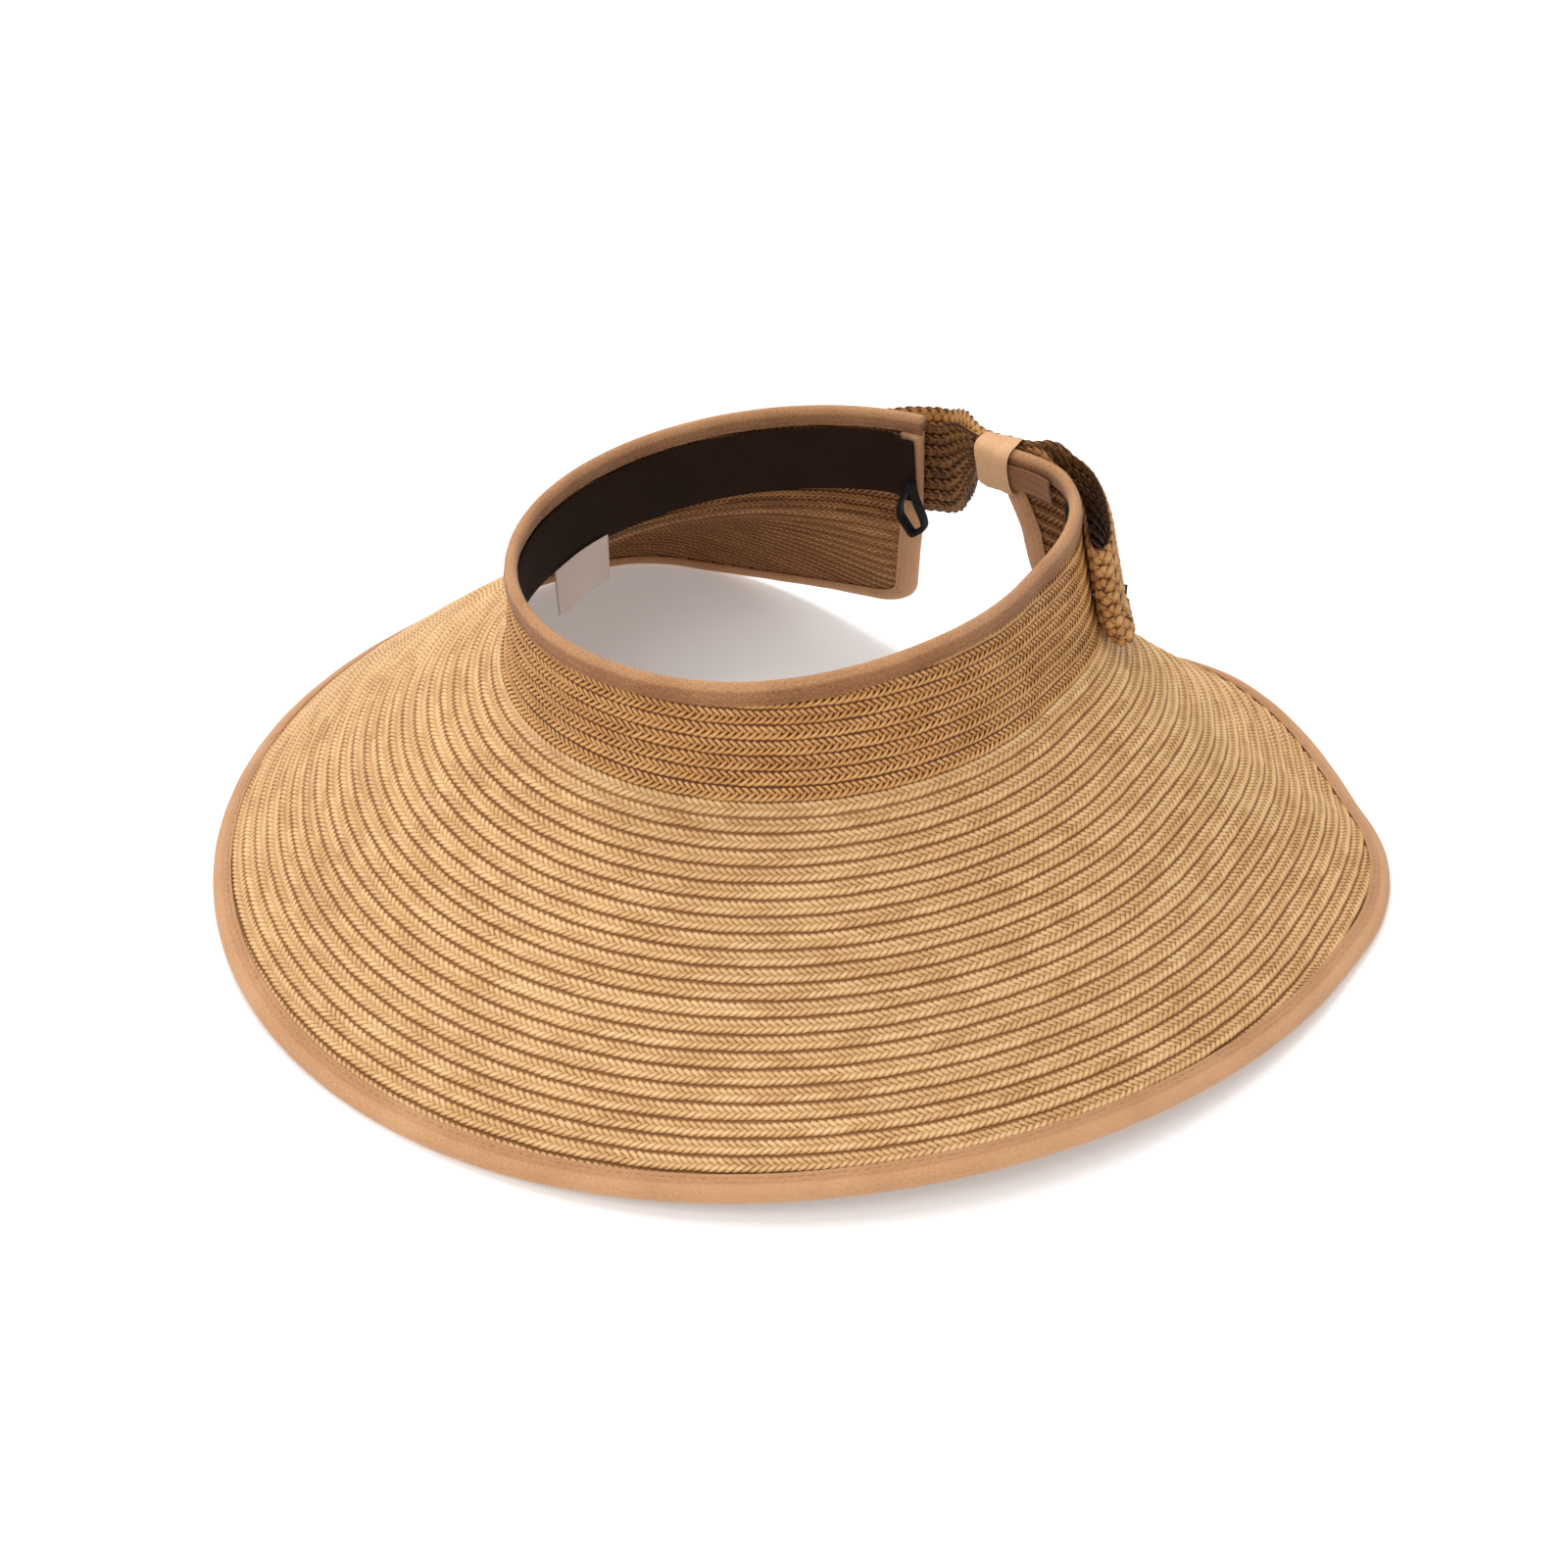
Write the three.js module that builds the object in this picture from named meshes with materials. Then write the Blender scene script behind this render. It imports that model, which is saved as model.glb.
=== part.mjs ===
// Wide-brim roll-up sun visor of braided straw, open at the crown, with a bow closure at the back.
// Millimetres, +Z up, the wearer looks along -Y and the wearer's left is +X.
// The straw body is one surface. Angle 0 is the middle of the forehead and grows towards the
// wearer's left. Drop is the distance along the surface, from the top edge of the crown down to
// the outer edge of the brim. Every sewn piece lies on that surface at a height above it.
import * as THREE from 'three';

const { cos, sin, abs, min, max, asin, hypot, PI } = Math;
const rad = (degrees) => degrees * PI / 180;

// The head oval at the crown's top edge.
const OVAL_HALF_LENGTH = 91.2;
const OVAL_HALF_WIDTH = 81.1;
const OVAL_EGG = 0.03;
const OVAL_SHIFT_Y = -2.3;
// The crown is pulled out at the back on the wearer's left, beside the bow.
const BACK_BULGE = 10.5;
// The crown's top edge rises a little over the left ear.
const EAR_RISE = 2.8;
// From the head oval's centre at floor level to the model's origin, under the middle of its box.
const ORIGIN = new THREE.Vector3(2.95, -23.45, 0);

// Crown and brim.
const RIM_HEIGHT = 115.4;
const JUNCTION_HEIGHT = 72.0;
const CROWN_FLARE = 6.75;
const BRIM_SLANT = 129.0;
const EDGE_LIFT_LEFT = 9.5;
const EDGE_LIFT_RIGHT = 5.6;
const END_LIFT = { right: 22.5, left: 25.0 };
const END_NARROWING = 0.63;
// Angles from the forehead where the brim starts to narrow and to lift, on each side.
const NARROW_FROM = { right: 115, left: 111 };
const LIFT_FROM = { right: 126, left: 132 };
const TAPER_TO = 160;
const FLOOR_CLEARANCE = 0.6;
const CORNER_RADIUS = 15.0;
const FILLET = 7.0;
const END_FILLET = 14.0;
// Angles where the straw body ends at the back: at the top edge, at the brim seam and at the edge.
const RIGHT_END = [-168.5, -165.5, -160];
const LEFT_END = [166, 165, 159.5];

// Materials' thicknesses and the clearance between sewn pieces.
const STRAW = 1.6;
const GAP = 0.5;
const SEAM_GAP = 0.6;

// Sewn pieces.
const TOP_TAPE_DROP = 7.0;
const EDGE_TAPE_WIDTH = 5.6;
const BEAD_INSET = 2.7;
const STRAW_INSET = 4.4;
const WIRE_RADIUS = 1.05;
const SWEATBAND = { from: 8.0, to: 35.5, thickness: 1.2, left: 148 };
const LABEL = { from: -73, to: -91, length: 17, thickness: 0.6 };
const PATCH = { from: 201, to: 216, dropFrom: 14, dropTo: 34, thickness: 1.0 };
const TAB = { from: 154, to: 172.5, dropFrom: 4, dropTo: 14, height: -3.1, thickness: 0.8 };
const KNOT = { from: 166.8, to: 173.6, dropFrom: -1, dropTo: 18, low: -5.4, over: 3.1, wall: 0.9 };
const CORE = { from: 165.6, to: 174.4, dropFrom: 3.5, dropTo: 14, half: 1.4 };
// Height of the bow band's middle over the straw surface where it runs through the knot.
const BAND_HEIGHT = { right: 5.0, left: 2.4 };
const ELASTIC = { angle: -164, drop: 31, height: -8, length: 19, width: 9, band: 5, thickness: 1.0 };
const WING_ROOT = { half: 8.0, drop: 9 };
const LEFT_WING = { root: 176.3, tip: 219, drop: 25, sag: 16, inner: 5.2, outer: 13.5, half: 20 };
const RIGHT_WING = { root: 163.7, tip: 135, drop: 23, sag: 11, inner: 4.8, outer: 10.8, half: 20.5 };

const surface = (color, roughness) => new THREE.MeshStandardMaterial({ color, roughness, metalness: 0 });
const straw = surface(0xd2a571, 0.75);
const tape = surface(0xd1a175, 0.6);
const darkCloth = surface(0x291a10, 0.9);
const labelCloth = surface(0xc9bdb8, 0.7);
const elastic = surface(0x14110f, 0.8);
const boning = surface(0xe8e4da, 0.4);
const gripTape = surface(0xb08a60, 0.95);

const smoothstep = (from, to, x) => {
  const t = min(1, max(0, (x - from) / (to - from)));
  return t * t * (3 - 2 * t);
};

// ---- The straw surface ----

// The head oval in plan, with its outward direction.
function oval(angle) {
  const s = sin(angle);
  const c = cos(angle);
  const dx = OVAL_HALF_WIDTH * (c * (1 + OVAL_EGG * c) - OVAL_EGG * s * s);
  const dy = OVAL_HALF_LENGTH * s;
  const nx = dy / hypot(dx, dy);
  const ny = -dx / hypot(dx, dy);
  const turn = THREE.MathUtils.euclideanModulo(angle * 180 / PI, 360);
  const bulge = BACK_BULGE * smoothstep(105, 147, turn) * (1 - smoothstep(150, 172, turn));
  return {
    x: OVAL_HALF_WIDTH * s * (1 + OVAL_EGG * c) + nx * bulge,
    y: OVAL_SHIFT_Y - OVAL_HALF_LENGTH * c + ny * bulge,
    nx,
    ny,
  };
}

// One slice through crown and brim at an angle in radians.
function slice(angle) {
  const s = sin(angle);
  const c = cos(angle);
  const { x, y, nx, ny } = oval(angle);
  const away = abs(THREE.MathUtils.euclideanModulo(angle * 180 / PI + 180, 360) - 180);
  const side = s > 0 ? 'left' : 'right';
  const narrowing = min(1, max(0, (away - NARROW_FROM[side]) / (TAPER_TO - NARROW_FROM[side])));
  const atEnd = s > 0 ? narrowing ** 2 : narrowing ** 2 * (3 - 2 * narrowing);
  const turn = angle * 180 / PI;
  const ear = smoothstep(25, 75, turn) * (1 - smoothstep(75, 125, turn));
  const top = RIM_HEIGHT + 0.0303 * y - 0.0058 * x + EAR_RISE * ear;
  const seam = JUNCTION_HEIGHT + 3.4 * c - 2.2 * s - 1.5 * cos(2 * angle);
  const flare = CROWN_FLARE - 4.57 * c;
  const crown = hypot(flare, top - seam);
  const slant = (BRIM_SLANT - 8 * c + 4.8 * cos(2 * angle) + 0.7 * s) * (1 - END_NARROWING * atEnd);
  const wave = away < 125 ? sin(PI * away / 125) ** 2 : 0;
  const lift = wave * (s > 0 ? EDGE_LIFT_LEFT : EDGE_LIFT_RIGHT);
  const rise = END_LIFT[side] * smoothstep(LIFT_FROM[side], TAPER_TO, away);
  const edge = FLOOR_CLEARANCE + lift + rise;
  const bend = rad((2.1 - 4 * c - 6 * s) * (1 - atEnd) - 13 * atEnd) + 1e-6;
  const slope = asin(min(0.99, (seam - edge) / slant * bend / sin(bend)));
  return { x, y, nx, ny, top, seam, flare, crown, slant, bend, slope, atEnd };
}

// Outward and downward travel along a slice, with a sharp corner at the brim seam.
function sharp(cut, drop) {
  if (drop <= cut.crown) {
    return [cut.flare * drop / cut.crown, (cut.top - cut.seam) * drop / cut.crown];
  }
  const t = (drop - cut.crown) / cut.slant;
  const angle = cut.slope + cut.bend * (2 * t - 1);
  const start = cut.slope - cut.bend;
  const scale = cut.slant / (2 * cut.bend);
  const out = scale * (sin(angle) - sin(start));
  const down = scale * (cos(start) - cos(angle));
  return [cut.flare + out, cut.top - cut.seam + down];
}

// A point on the straw surface. Averaging along the drop rounds the brim seam off.
function onSurface(angle, drop) {
  const cut = slice(angle);
  const reach = FILLET + (END_FILLET - FILLET) * cut.atEnd;
  let out = 0;
  let down = 0;
  for (const step of [-1, -0.5, 0, 0.5, 1]) {
    const [o, d] = sharp(cut, drop + step * reach);
    out += o / 5;
    down += d / 5;
  }
  return new THREE.Vector3(cut.x + cut.nx * out, cut.y + cut.ny * out, cut.top - down);
}

function normalAt(angle, drop) {
  const around = onSurface(angle + 0.002, drop).sub(onSurface(angle - 0.002, drop));
  const down = onSurface(angle, drop + 0.3).sub(onSurface(angle, drop - 0.3));
  return down.cross(around).normalize();
}

// The point at a height above the surface, outside positive.
function at(angle, drop, height) {
  return onSurface(angle, drop).addScaledVector(normalAt(angle, drop), height);
}

const total = (angle) => slice(angle).crown + slice(angle).slant;

// The angle of an end of the straw body at a drop, moved in by an inset along the surface.
function endAngle(end, drop, inset) {
  const side = Math.sign(end[0]);
  const here = slice(rad(end[1]));
  const upper = min(1, drop / here.crown);
  const lower = max(0, (drop - here.crown) / here.slant);
  const angle = rad(end[0] + (end[1] - end[0]) * upper + (end[2] - end[1]) * lower);
  const step = onSurface(angle + 0.005, drop).distanceTo(onSurface(angle - 0.005, drop)) / 0.01;
  return angle - side * inset / step;
}

// Share -1 is the wearer's right end, 1 the left end and 0 the middle of the forehead.
function angleAt(share, drop, inset) {
  return share > 0 ? share * endAngle(LEFT_END, drop, inset) : -share * endAngle(RIGHT_END, drop, inset);
}

// Columns across the body: a few round each lower corner and even ones between. Lost is how much
// shorter the rounded corner makes a column.
function columns(inset, count = 64) {
  const radius = CORNER_RADIUS - inset;
  const corner = [LEFT_END, RIGHT_END].map((end) => {
    const edge = total(rad(end[2]));
    const last = endAngle(end, edge - inset, inset);
    const step = onSurface(last + 0.005, edge).distanceTo(onSurface(last - 0.005, edge)) / 0.01;
    return [0, 22.5, 45, 67.5].map((turn) => ({
      share: Math.sign(end[0]) * (1 - radius * (1 - cos(rad(turn))) / (abs(last) * step)),
      lost: radius * (1 - sin(rad(turn))),
    })).concat([{ share: Math.sign(end[0]) * (1 - radius / (abs(last) * step)), lost: 0 }]);
  });
  const [left, right] = corner;
  const from = right[4].share;
  const to = left[4].share;
  const middle = [];
  for (let i = 1; i < count; i += 1) {
    middle.push({ share: from + (to - from) * i / count, lost: 0 });
  }
  return [...right, ...middle, ...left.reverse()];
}

// The lowest drop of a column.
function lowest(column, inset) {
  let angle = angleAt(column.share, 180, inset);
  for (let i = 0; i < 4; i += 1) {
    angle = angleAt(column.share, total(angle) - inset - column.lost, inset);
  }
  return total(angle) - inset - column.lost;
}

// ---- Solids ----

// A closed solid from stations that each hold two matching rows of points, front and back.
function solid(name, material, stations, { ring = false } = {}) {
  const rows = stations[0].front.length;
  const width = 2 * rows;
  const positions = [];
  for (const { front, back } of stations) {
    for (const p of [...front, ...[...back].reverse()]) {
      positions.push(p.x, p.y, p.z);
    }
  }
  const index = [];
  const quad = (a, b, c, d) => index.push(a, b, c, a, c, d);
  const last = ring ? stations.length : stations.length - 1;
  for (let j = 0; j < last; j += 1) {
    const here = j * width;
    const next = ((j + 1) % stations.length) * width;
    for (let i = 0; i < width; i += 1) {
      const k = (i + 1) % width;
      quad(here + i, next + i, next + k, here + k);
    }
  }
  if (!ring) {
    const end = (stations.length - 1) * width;
    for (let i = 0; i < rows - 1; i += 1) {
      quad(i, i + 1, width - 2 - i, width - 1 - i);
      quad(end + width - 1 - i, end + width - 2 - i, end + i + 1, end + i);
    }
  }
  if (volume(positions, index) < 0) {
    index.reverse();
  }
  const geometry = new THREE.BufferGeometry();
  geometry.setAttribute('position', new THREE.Float32BufferAttribute(positions, 3));
  geometry.setIndex(index);
  geometry.computeVertexNormals();
  const mesh = new THREE.Mesh(geometry, material);
  mesh.name = name;
  return mesh;
}

function volume(positions, index) {
  const corner = (k) => new THREE.Vector3().fromArray(positions, 3 * k);
  let sum = 0;
  for (let i = 0; i < index.length; i += 3) {
    sum += corner(index[i]).dot(corner(index[i + 1]).cross(corner(index[i + 2])));
  }
  return sum / 6;
}

const range = (from, to, steps) => Array.from({ length: steps + 1 }, (_, i) => from + (to - from) * i / steps);

// A sheet on the straw surface between two heights. Each path in paths is a column of drops.
function sheetSolid(name, material, paths, low, high) {
  return solid(name, material, paths.map((path) => ({
    front: path.map(([angle, drop]) => at(angle, drop, high)),
    back: path.map(([angle, drop]) => at(angle, drop, low)),
  })));
}

// A rectangular sheet from one angle to another, in degrees, and between two drops.
function strip(name, material, from, to, dropFrom, dropTo, low, high, steps, rows = 1) {
  const paths = range(rad(from), rad(to), steps).map((angle) => (
    range(dropFrom, dropTo, rows).map((drop) => [angle, drop])
  ));
  return sheetSolid(name, material, paths, low, high);
}

// A folded tape swept along a path on the surface. pathAt gives the path set back by a distance
// from the edge. Each outline row is a point on the tape's outer face and one on its inner face,
// each as [distance past the path, height over the surface].
function foldedTape(name, material, pathAt, outline, floor = -Infinity) {
  const frames = framesAlong(pathAt(0));
  const setBack = new Map();
  const place = (k, [out, height]) => {
    if (out < 0 && !setBack.has(out)) {
      setBack.set(out, pathAt(-out));
    }
    const frame = frames[k];
    const point = out < 0
      ? at(...setBack.get(out)[k], height)
      : frame.point.clone().addScaledVector(frame.out, out).addScaledVector(frame.normal, height);
    point.z = max(point.z, floor);
    return point;
  };
  return solid(name, material, frames.map((_, k) => ({
    front: outline.map(([outer]) => place(k, outer)),
    back: outline.map(([, inner]) => place(k, inner)),
  })));
}

function framesAlong(path) {
  const points = path.map(([angle, drop]) => onSurface(angle, drop));
  return points.map((point, i) => {
    const before = points[max(0, i - 1)];
    const after = points[min(points.length - 1, i + 1)];
    const normal = normalAt(...path[i]);
    const along = after.clone().sub(before).normalize();
    const out = along.cross(normal).normalize();
    return { point, normal, out };
  });
}

// ---- Straw body ----

function crownBand() {
  const paths = columns(STRAW_INSET).map(({ share }) => {
    const seam = slice(angleAt(share, 45, STRAW_INSET)).crown - SEAM_GAP / 2;
    return range(3, seam, 3).map((drop) => [angleAt(share, drop, STRAW_INSET), drop]);
  });
  return sheetSolid('crown_band', straw, paths, -STRAW / 2, STRAW / 2);
}

function brimPanel() {
  const paths = columns(STRAW_INSET).map((column) => {
    const seam = slice(angleAt(column.share, 45, STRAW_INSET)).crown + SEAM_GAP / 2;
    const edge = lowest(column, STRAW_INSET);
    const drops = [0, 0.06, 0.13, 0.25, 0.45, 0.68, 0.9, 1].map((t) => seam + (edge - seam) * t);
    return drops.map((drop) => [angleAt(column.share, drop, STRAW_INSET), drop]);
  });
  return sheetSolid('brim_panel', straw, paths, -STRAW / 2, STRAW / 2);
}

// The path of the edge tape at an inset: down the right end, round the brim and up the left end.
function edgePath(inset, withEnds) {
  const all = columns(inset);
  const edge = all.map((column) => {
    const drop = lowest(column, inset);
    return [angleAt(column.share, drop, inset), drop];
  });
  if (!withEnds) {
    return edge;
  }
  const down = (end, last) => range(TOP_TAPE_DROP + 1, last, 16).slice(0, -1)
    .map((drop) => [endAngle(end, drop, inset), drop]);
  const right = down(RIGHT_END, edge[0][1]);
  const left = down(LEFT_END, edge[edge.length - 1][1]).reverse();
  return [...right, ...edge, ...left];
}

// Both halves of a fold: the rows given for the upper half, and their mirror image.
const folded = (upper) => [
  ...upper,
  ...upper.map((row) => row.map(([out, height]) => [out, -height])).reverse(),
];

// Two flanges, and a bead whose lower facet lies flat on the floor.
function brimTape() {
  const outline = folded([
    [[-EDGE_TAPE_WIDTH, 2.4], [-EDGE_TAPE_WIDTH, 1.8]],
    [[-2.4, 2.4], [-2.4, 1.8]],
    [[0.52, 2.55], [0.35, 1.75]],
    [[2.17, 1.44], [1.45, 1.0]],
  ]);
  return foldedTape('brim_edge_tape', tape, (back) => edgePath(BEAD_INSET + back, true), outline, 0);
}

function brimWire() {
  const outline = [157.5, 112.5, 67.5, 22.5].map((turn) => {
    const height = WIRE_RADIUS * sin(rad(turn));
    const out = WIRE_RADIUS * cos(rad(turn));
    return [[out, height], [out, -height]];
  });
  const path = (back) => edgePath(BEAD_INSET + back, false).slice(4, -4);
  return foldedTape('brim_wire', boning, path, outline);
}

function crownTape() {
  const outline = folded([
    [[-TOP_TAPE_DROP, 2.1], [-TOP_TAPE_DROP, 1.5]],
    [[-1.6, 2.1], [-2.2, 1.5]],
    [[-0.3, 1.1], [-1.2, 0.6]],
  ]);
  const shares = columns(0.4).map(({ share }) => share).reverse();
  const path = (back) => shares.map((share) => [angleAt(share, 0.5 + back, 0.4), 0.5 + back]);
  return foldedTape('crown_top_tape', tape, path, outline);
}

// ---- Inside of the crown ----

// The sweatband lies on the straw and, at the wearer's right end, over the edge tape's flange.
function sweatband() {
  const { from, to, thickness, left } = SWEATBAND;
  const end = endAngle(RIGHT_END, from, 2.5);
  const flange = endAngle(RIGHT_END, from, EDGE_TAPE_WIDTH + BEAD_INSET + 4);
  const shares = columns(STRAW_INSET).map(({ share }) => angleAt(share, from, STRAW_INSET));
  const rest = shares.filter((angle) => angle > flange + 0.05 && angle < rad(left));
  const angles = [end, (end + flange) / 2, flange, ...rest];
  return solid('sweatband', darkCloth, angles.map((angle) => {
    const over = 2.6 * smoothstep(flange, (end + flange) / 2, angle);
    const high = -STRAW / 2 - GAP - over;
    const drops = range(from, to, 3);
    return {
      front: drops.map((drop) => at(angle, drop, high)),
      back: drops.map((drop) => at(angle, drop, high - thickness)),
    };
  }));
}

function careLabel() {
  const { from, to, length, thickness } = LABEL;
  const stations = range(rad(from), rad(to), 4).map((angle) => {
    const top = at(angle, SWEATBAND.to - 3, -STRAW / 2 - 2 * GAP - SWEATBAND.thickness);
    const inward = normalAt(angle, SWEATBAND.to).setZ(0).normalize().multiplyScalar(-thickness);
    const drops = [0, length / 2, length];
    const front = drops.map((d) => top.clone().setZ(top.z - d));
    return { front, back: front.map((p) => p.clone().add(inward)) };
  });
  return solid('care_label', labelCloth, stations);
}

// A hanging loop of flat elastic, sewn to the sweatband's end on the wearer's right.
function elasticLoop() {
  const { angle, drop, height, length, width, band, thickness } = ELASTIC;
  const top = at(rad(angle), drop, height);
  const inward = normalAt(rad(angle), drop).setZ(0).normalize();
  const side = new THREE.Vector3(-inward.y, inward.x, 0);
  const stations = range(0, 2 * PI, 16).slice(0, -1).map((turn) => {
    const belly = width / 2 * sin(turn) * (0.55 + 0.45 * (1 - cos(turn)) / 2);
    const down = length * (1 - cos(turn)) / 2;
    const shrink = 1 - 2 * thickness / width;
    const outer = top.clone().addScaledVector(side, belly).setZ(top.z - down);
    const inner = top.clone().addScaledVector(side, belly * shrink);
    inner.z = top.z - length / 2 + (length / 2 - down) * (1 - 2 * thickness / length);
    const across = (p) => [-band / 2, band / 2].map((w) => p.clone().addScaledVector(inward, w));
    return { front: across(outer), back: across(inner) };
  });
  return solid('elastic_loop', elastic, stations, { ring: true });
}

// ---- Bow closure ----

// A hook-and-loop patch on the outside of the wearer's right end.
function loopPatch() {
  const low = STRAW / 2 + GAP;
  const { from, to, dropFrom, dropTo, thickness } = PATCH;
  return strip('loop_patch', gripTape, from, to, dropFrom, dropTo, low, low + thickness, 4);
}

// Its partner is sewn to the inner face of the bow's wing.
function hookPatch() {
  const low = STRAW / 2 + 2 * GAP + PATCH.thickness;
  const { from, to, dropFrom, dropTo, thickness } = PATCH;
  return strip('hook_patch', gripTape, from, to, dropFrom, dropTo, low, low + thickness, 4);
}

const bandHeight = (angle) => (
  BAND_HEIGHT.right + (BAND_HEIGHT.left - BAND_HEIGHT.right) * smoothstep(CORE.from, CORE.to, angle)
);

// A wing is a flat straw band that leaves the knot, folds back at its tip and returns.
function bowWing(name, wing) {
  const { root, tip, drop, sag, inner, outer, half } = wing;
  const middle = (inner + outer) / 2;
  const foldRadius = (outer - inner) / 2;
  const rootHeight = bandHeight(root);
  const foldSpan = Math.sign(tip - root) * foldRadius / 1.5;
  const layer = (t, start, end) => [
    root + (tip - foldSpan - root) * t,
    start + (end - start) * smoothstep(0, 0.4, t),
    t,
  ];
  const fold = (turn) => [tip - foldSpan * (1 - cos(rad(turn))), middle + foldRadius * sin(rad(turn)), 1];
  const line = [
    ...range(0, 1, 8).map((t) => layer(t, rootHeight - 1, inner)),
    ...[-60, -30, 0, 30, 60].map(fold),
    ...range(1, 0, 8).map((t) => layer(t, rootHeight + 1, outer)),
  ];
  const dropAt = (t) => WING_ROOT.drop + (drop - WING_ROOT.drop) * smoothstep(0, 0.35, t) + sag * t * t;
  const centre = line.map(([angle, height, t]) => at(rad(angle), dropAt(t), height));
  return solid(name, straw, line.map(([angle, height, t], i) => {
    const before = centre[max(0, i - 1)];
    const after = centre[min(line.length - 1, i + 1)];
    const along = after.clone().sub(before).setZ(0).normalize();
    const face = new THREE.Vector3(-along.y, along.x, 0).multiplyScalar(STRAW / 2);
    const tall = WING_ROOT.half + (half - WING_ROOT.half) * smoothstep(0, 0.28, t);
    const column = range(-tall, tall, 3).map((d) => at(rad(angle), dropAt(t) + d, height));
    return { front: column.map((p) => p.clone().add(face)), back: column.map((p) => p.clone().sub(face)) };
  }));
}

// The band's pinched middle, held inside the knot.
function bowCore() {
  const { from, to, dropFrom, dropTo, half } = CORE;
  return solid('bow_core', straw, range(from, to, 4).map((angle) => {
    const drops = range(dropFrom, dropTo, 2);
    const middle = bandHeight(angle);
    return {
      front: drops.map((drop) => at(rad(angle), drop, middle + half)),
      back: drops.map((drop) => at(rad(angle), drop, middle - half)),
    };
  }));
}

function bowTab() {
  const { from, to, dropFrom, dropTo, height, thickness } = TAB;
  return strip('bow_tab', tape, from, to, dropFrom, dropTo, height - thickness, height, 8);
}

// The knot is a ring of folded tape round the core and the tab.
function bowKnot() {
  const { from, to, dropFrom, dropTo, low, over, wall } = KNOT;
  const dropMiddle = (dropFrom + dropTo) / 2;
  const squareness = 5;
  return solid('bow_knot', tape, range(0, 360, 20).slice(0, -1).map((turn) => {
    const c = cos(rad(turn));
    const s = sin(rad(turn));
    const square = (abs(c) ** squareness + abs(s) ** squareness) ** (-1 / squareness);
    const place = (angle, inset) => {
      const high = bandHeight(angle) + over;
      const drop = dropMiddle + ((dropTo - dropFrom) / 2 - inset) * c * square;
      const height = (high + low) / 2 + ((high - low) / 2 - inset) * s * square;
      return at(rad(angle), drop, height);
    };
    const ends = range(from, to, 2);
    return { front: ends.map((angle) => place(angle, 0)), back: ends.map((angle) => place(angle, wall)) };
  }), { ring: true });
}

const visor = new THREE.Group();
visor.position.copy(ORIGIN).negate();
visor.add(
  crownBand(),
  brimPanel(),
  crownTape(),
  brimTape(),
  brimWire(),
  sweatband(),
  careLabel(),
  elasticLoop(),
  loopPatch(),
  hookPatch(),
  bowWing('bow_left_wing', LEFT_WING),
  bowWing('bow_right_wing', RIGHT_WING),
  bowCore(),
  bowTab(),
  bowKnot(),
);

export default visor;
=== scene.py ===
# Looks of the plaited straw sun visor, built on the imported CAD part.
# Lengths are millimetres and angles are degrees until a mesh is made. As in the CAD part, a place on
# the straw is an angle (0 = forehead, growing towards the wearer's left), a drop (distance down the
# crown and brim from the top edge) and a height over the straw's middle surface.
# The plait, the stitches and the piles draw from rng, so the order of the pieces is part of the look.
from types import SimpleNamespace

import bpy
import numpy as np
from mathutils import Matrix, Vector


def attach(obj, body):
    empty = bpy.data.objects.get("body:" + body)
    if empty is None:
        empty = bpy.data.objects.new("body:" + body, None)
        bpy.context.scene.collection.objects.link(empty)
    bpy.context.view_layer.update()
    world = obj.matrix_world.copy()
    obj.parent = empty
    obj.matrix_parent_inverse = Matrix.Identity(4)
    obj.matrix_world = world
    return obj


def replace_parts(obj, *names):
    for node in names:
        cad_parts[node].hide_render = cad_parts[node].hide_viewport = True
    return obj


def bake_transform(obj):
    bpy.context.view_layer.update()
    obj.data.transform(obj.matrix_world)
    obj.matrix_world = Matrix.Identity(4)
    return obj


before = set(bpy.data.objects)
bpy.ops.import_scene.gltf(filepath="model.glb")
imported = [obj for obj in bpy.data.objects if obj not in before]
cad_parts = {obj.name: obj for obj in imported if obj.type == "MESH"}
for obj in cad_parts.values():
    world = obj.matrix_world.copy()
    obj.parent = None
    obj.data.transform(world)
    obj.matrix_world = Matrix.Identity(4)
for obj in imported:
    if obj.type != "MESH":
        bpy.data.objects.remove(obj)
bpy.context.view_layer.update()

MM = 0.001
TURN = 2 * np.pi
rng = np.random.default_rng(7)

# The straw body, with the same dimensions as the CAD part. The brim's edge rises by EDGE_LIFT at each
# side and, from the angles LIFT_FROM, by END_LIFT at the ends. From the angles NARROW_FROM the brim is
# narrower. Both are complete at TAPER_TO. FILLET is how far the rounding of the brim seam reaches, and
# END_FILLET is the same at the two ends.
ORIGIN = np.array([2.95, -23.45, 0.0])
HALF_LENGTH, HALF_WIDTH, EGG, SHIFT_Y = 91.2, 81.1, 0.03, -2.3
BACK_BULGE, EAR_RISE = 10.5, 2.8
RIM_HEIGHT, SEAM_HEIGHT, CROWN_FLARE, BRIM_SLANT = 115.4, 72.0, 6.75, 129.0
EDGE_LIFT = SimpleNamespace(left=9.5, right=5.6)
END_LIFT = SimpleNamespace(left=25.0, right=22.5)
NARROW_FROM = SimpleNamespace(left=111, right=115)
LIFT_FROM = SimpleNamespace(left=132, right=126)
END_NARROWING, TAPER_TO, FLOOR_CLEARANCE = 0.63, 160, 0.6
CORNER_RADIUS, FILLET, END_FILLET = 15.0, 7.0, 14.0

# How far the crown's tape reaches down, how far the brim's tape reaches in from the middle of its bead,
# and how far that middle lies in from the border.
TOP_TAPE_DROP, EDGE_TAPE_WIDTH, BEAD_INSET = 7.0, 5.6, 2.7

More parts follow.
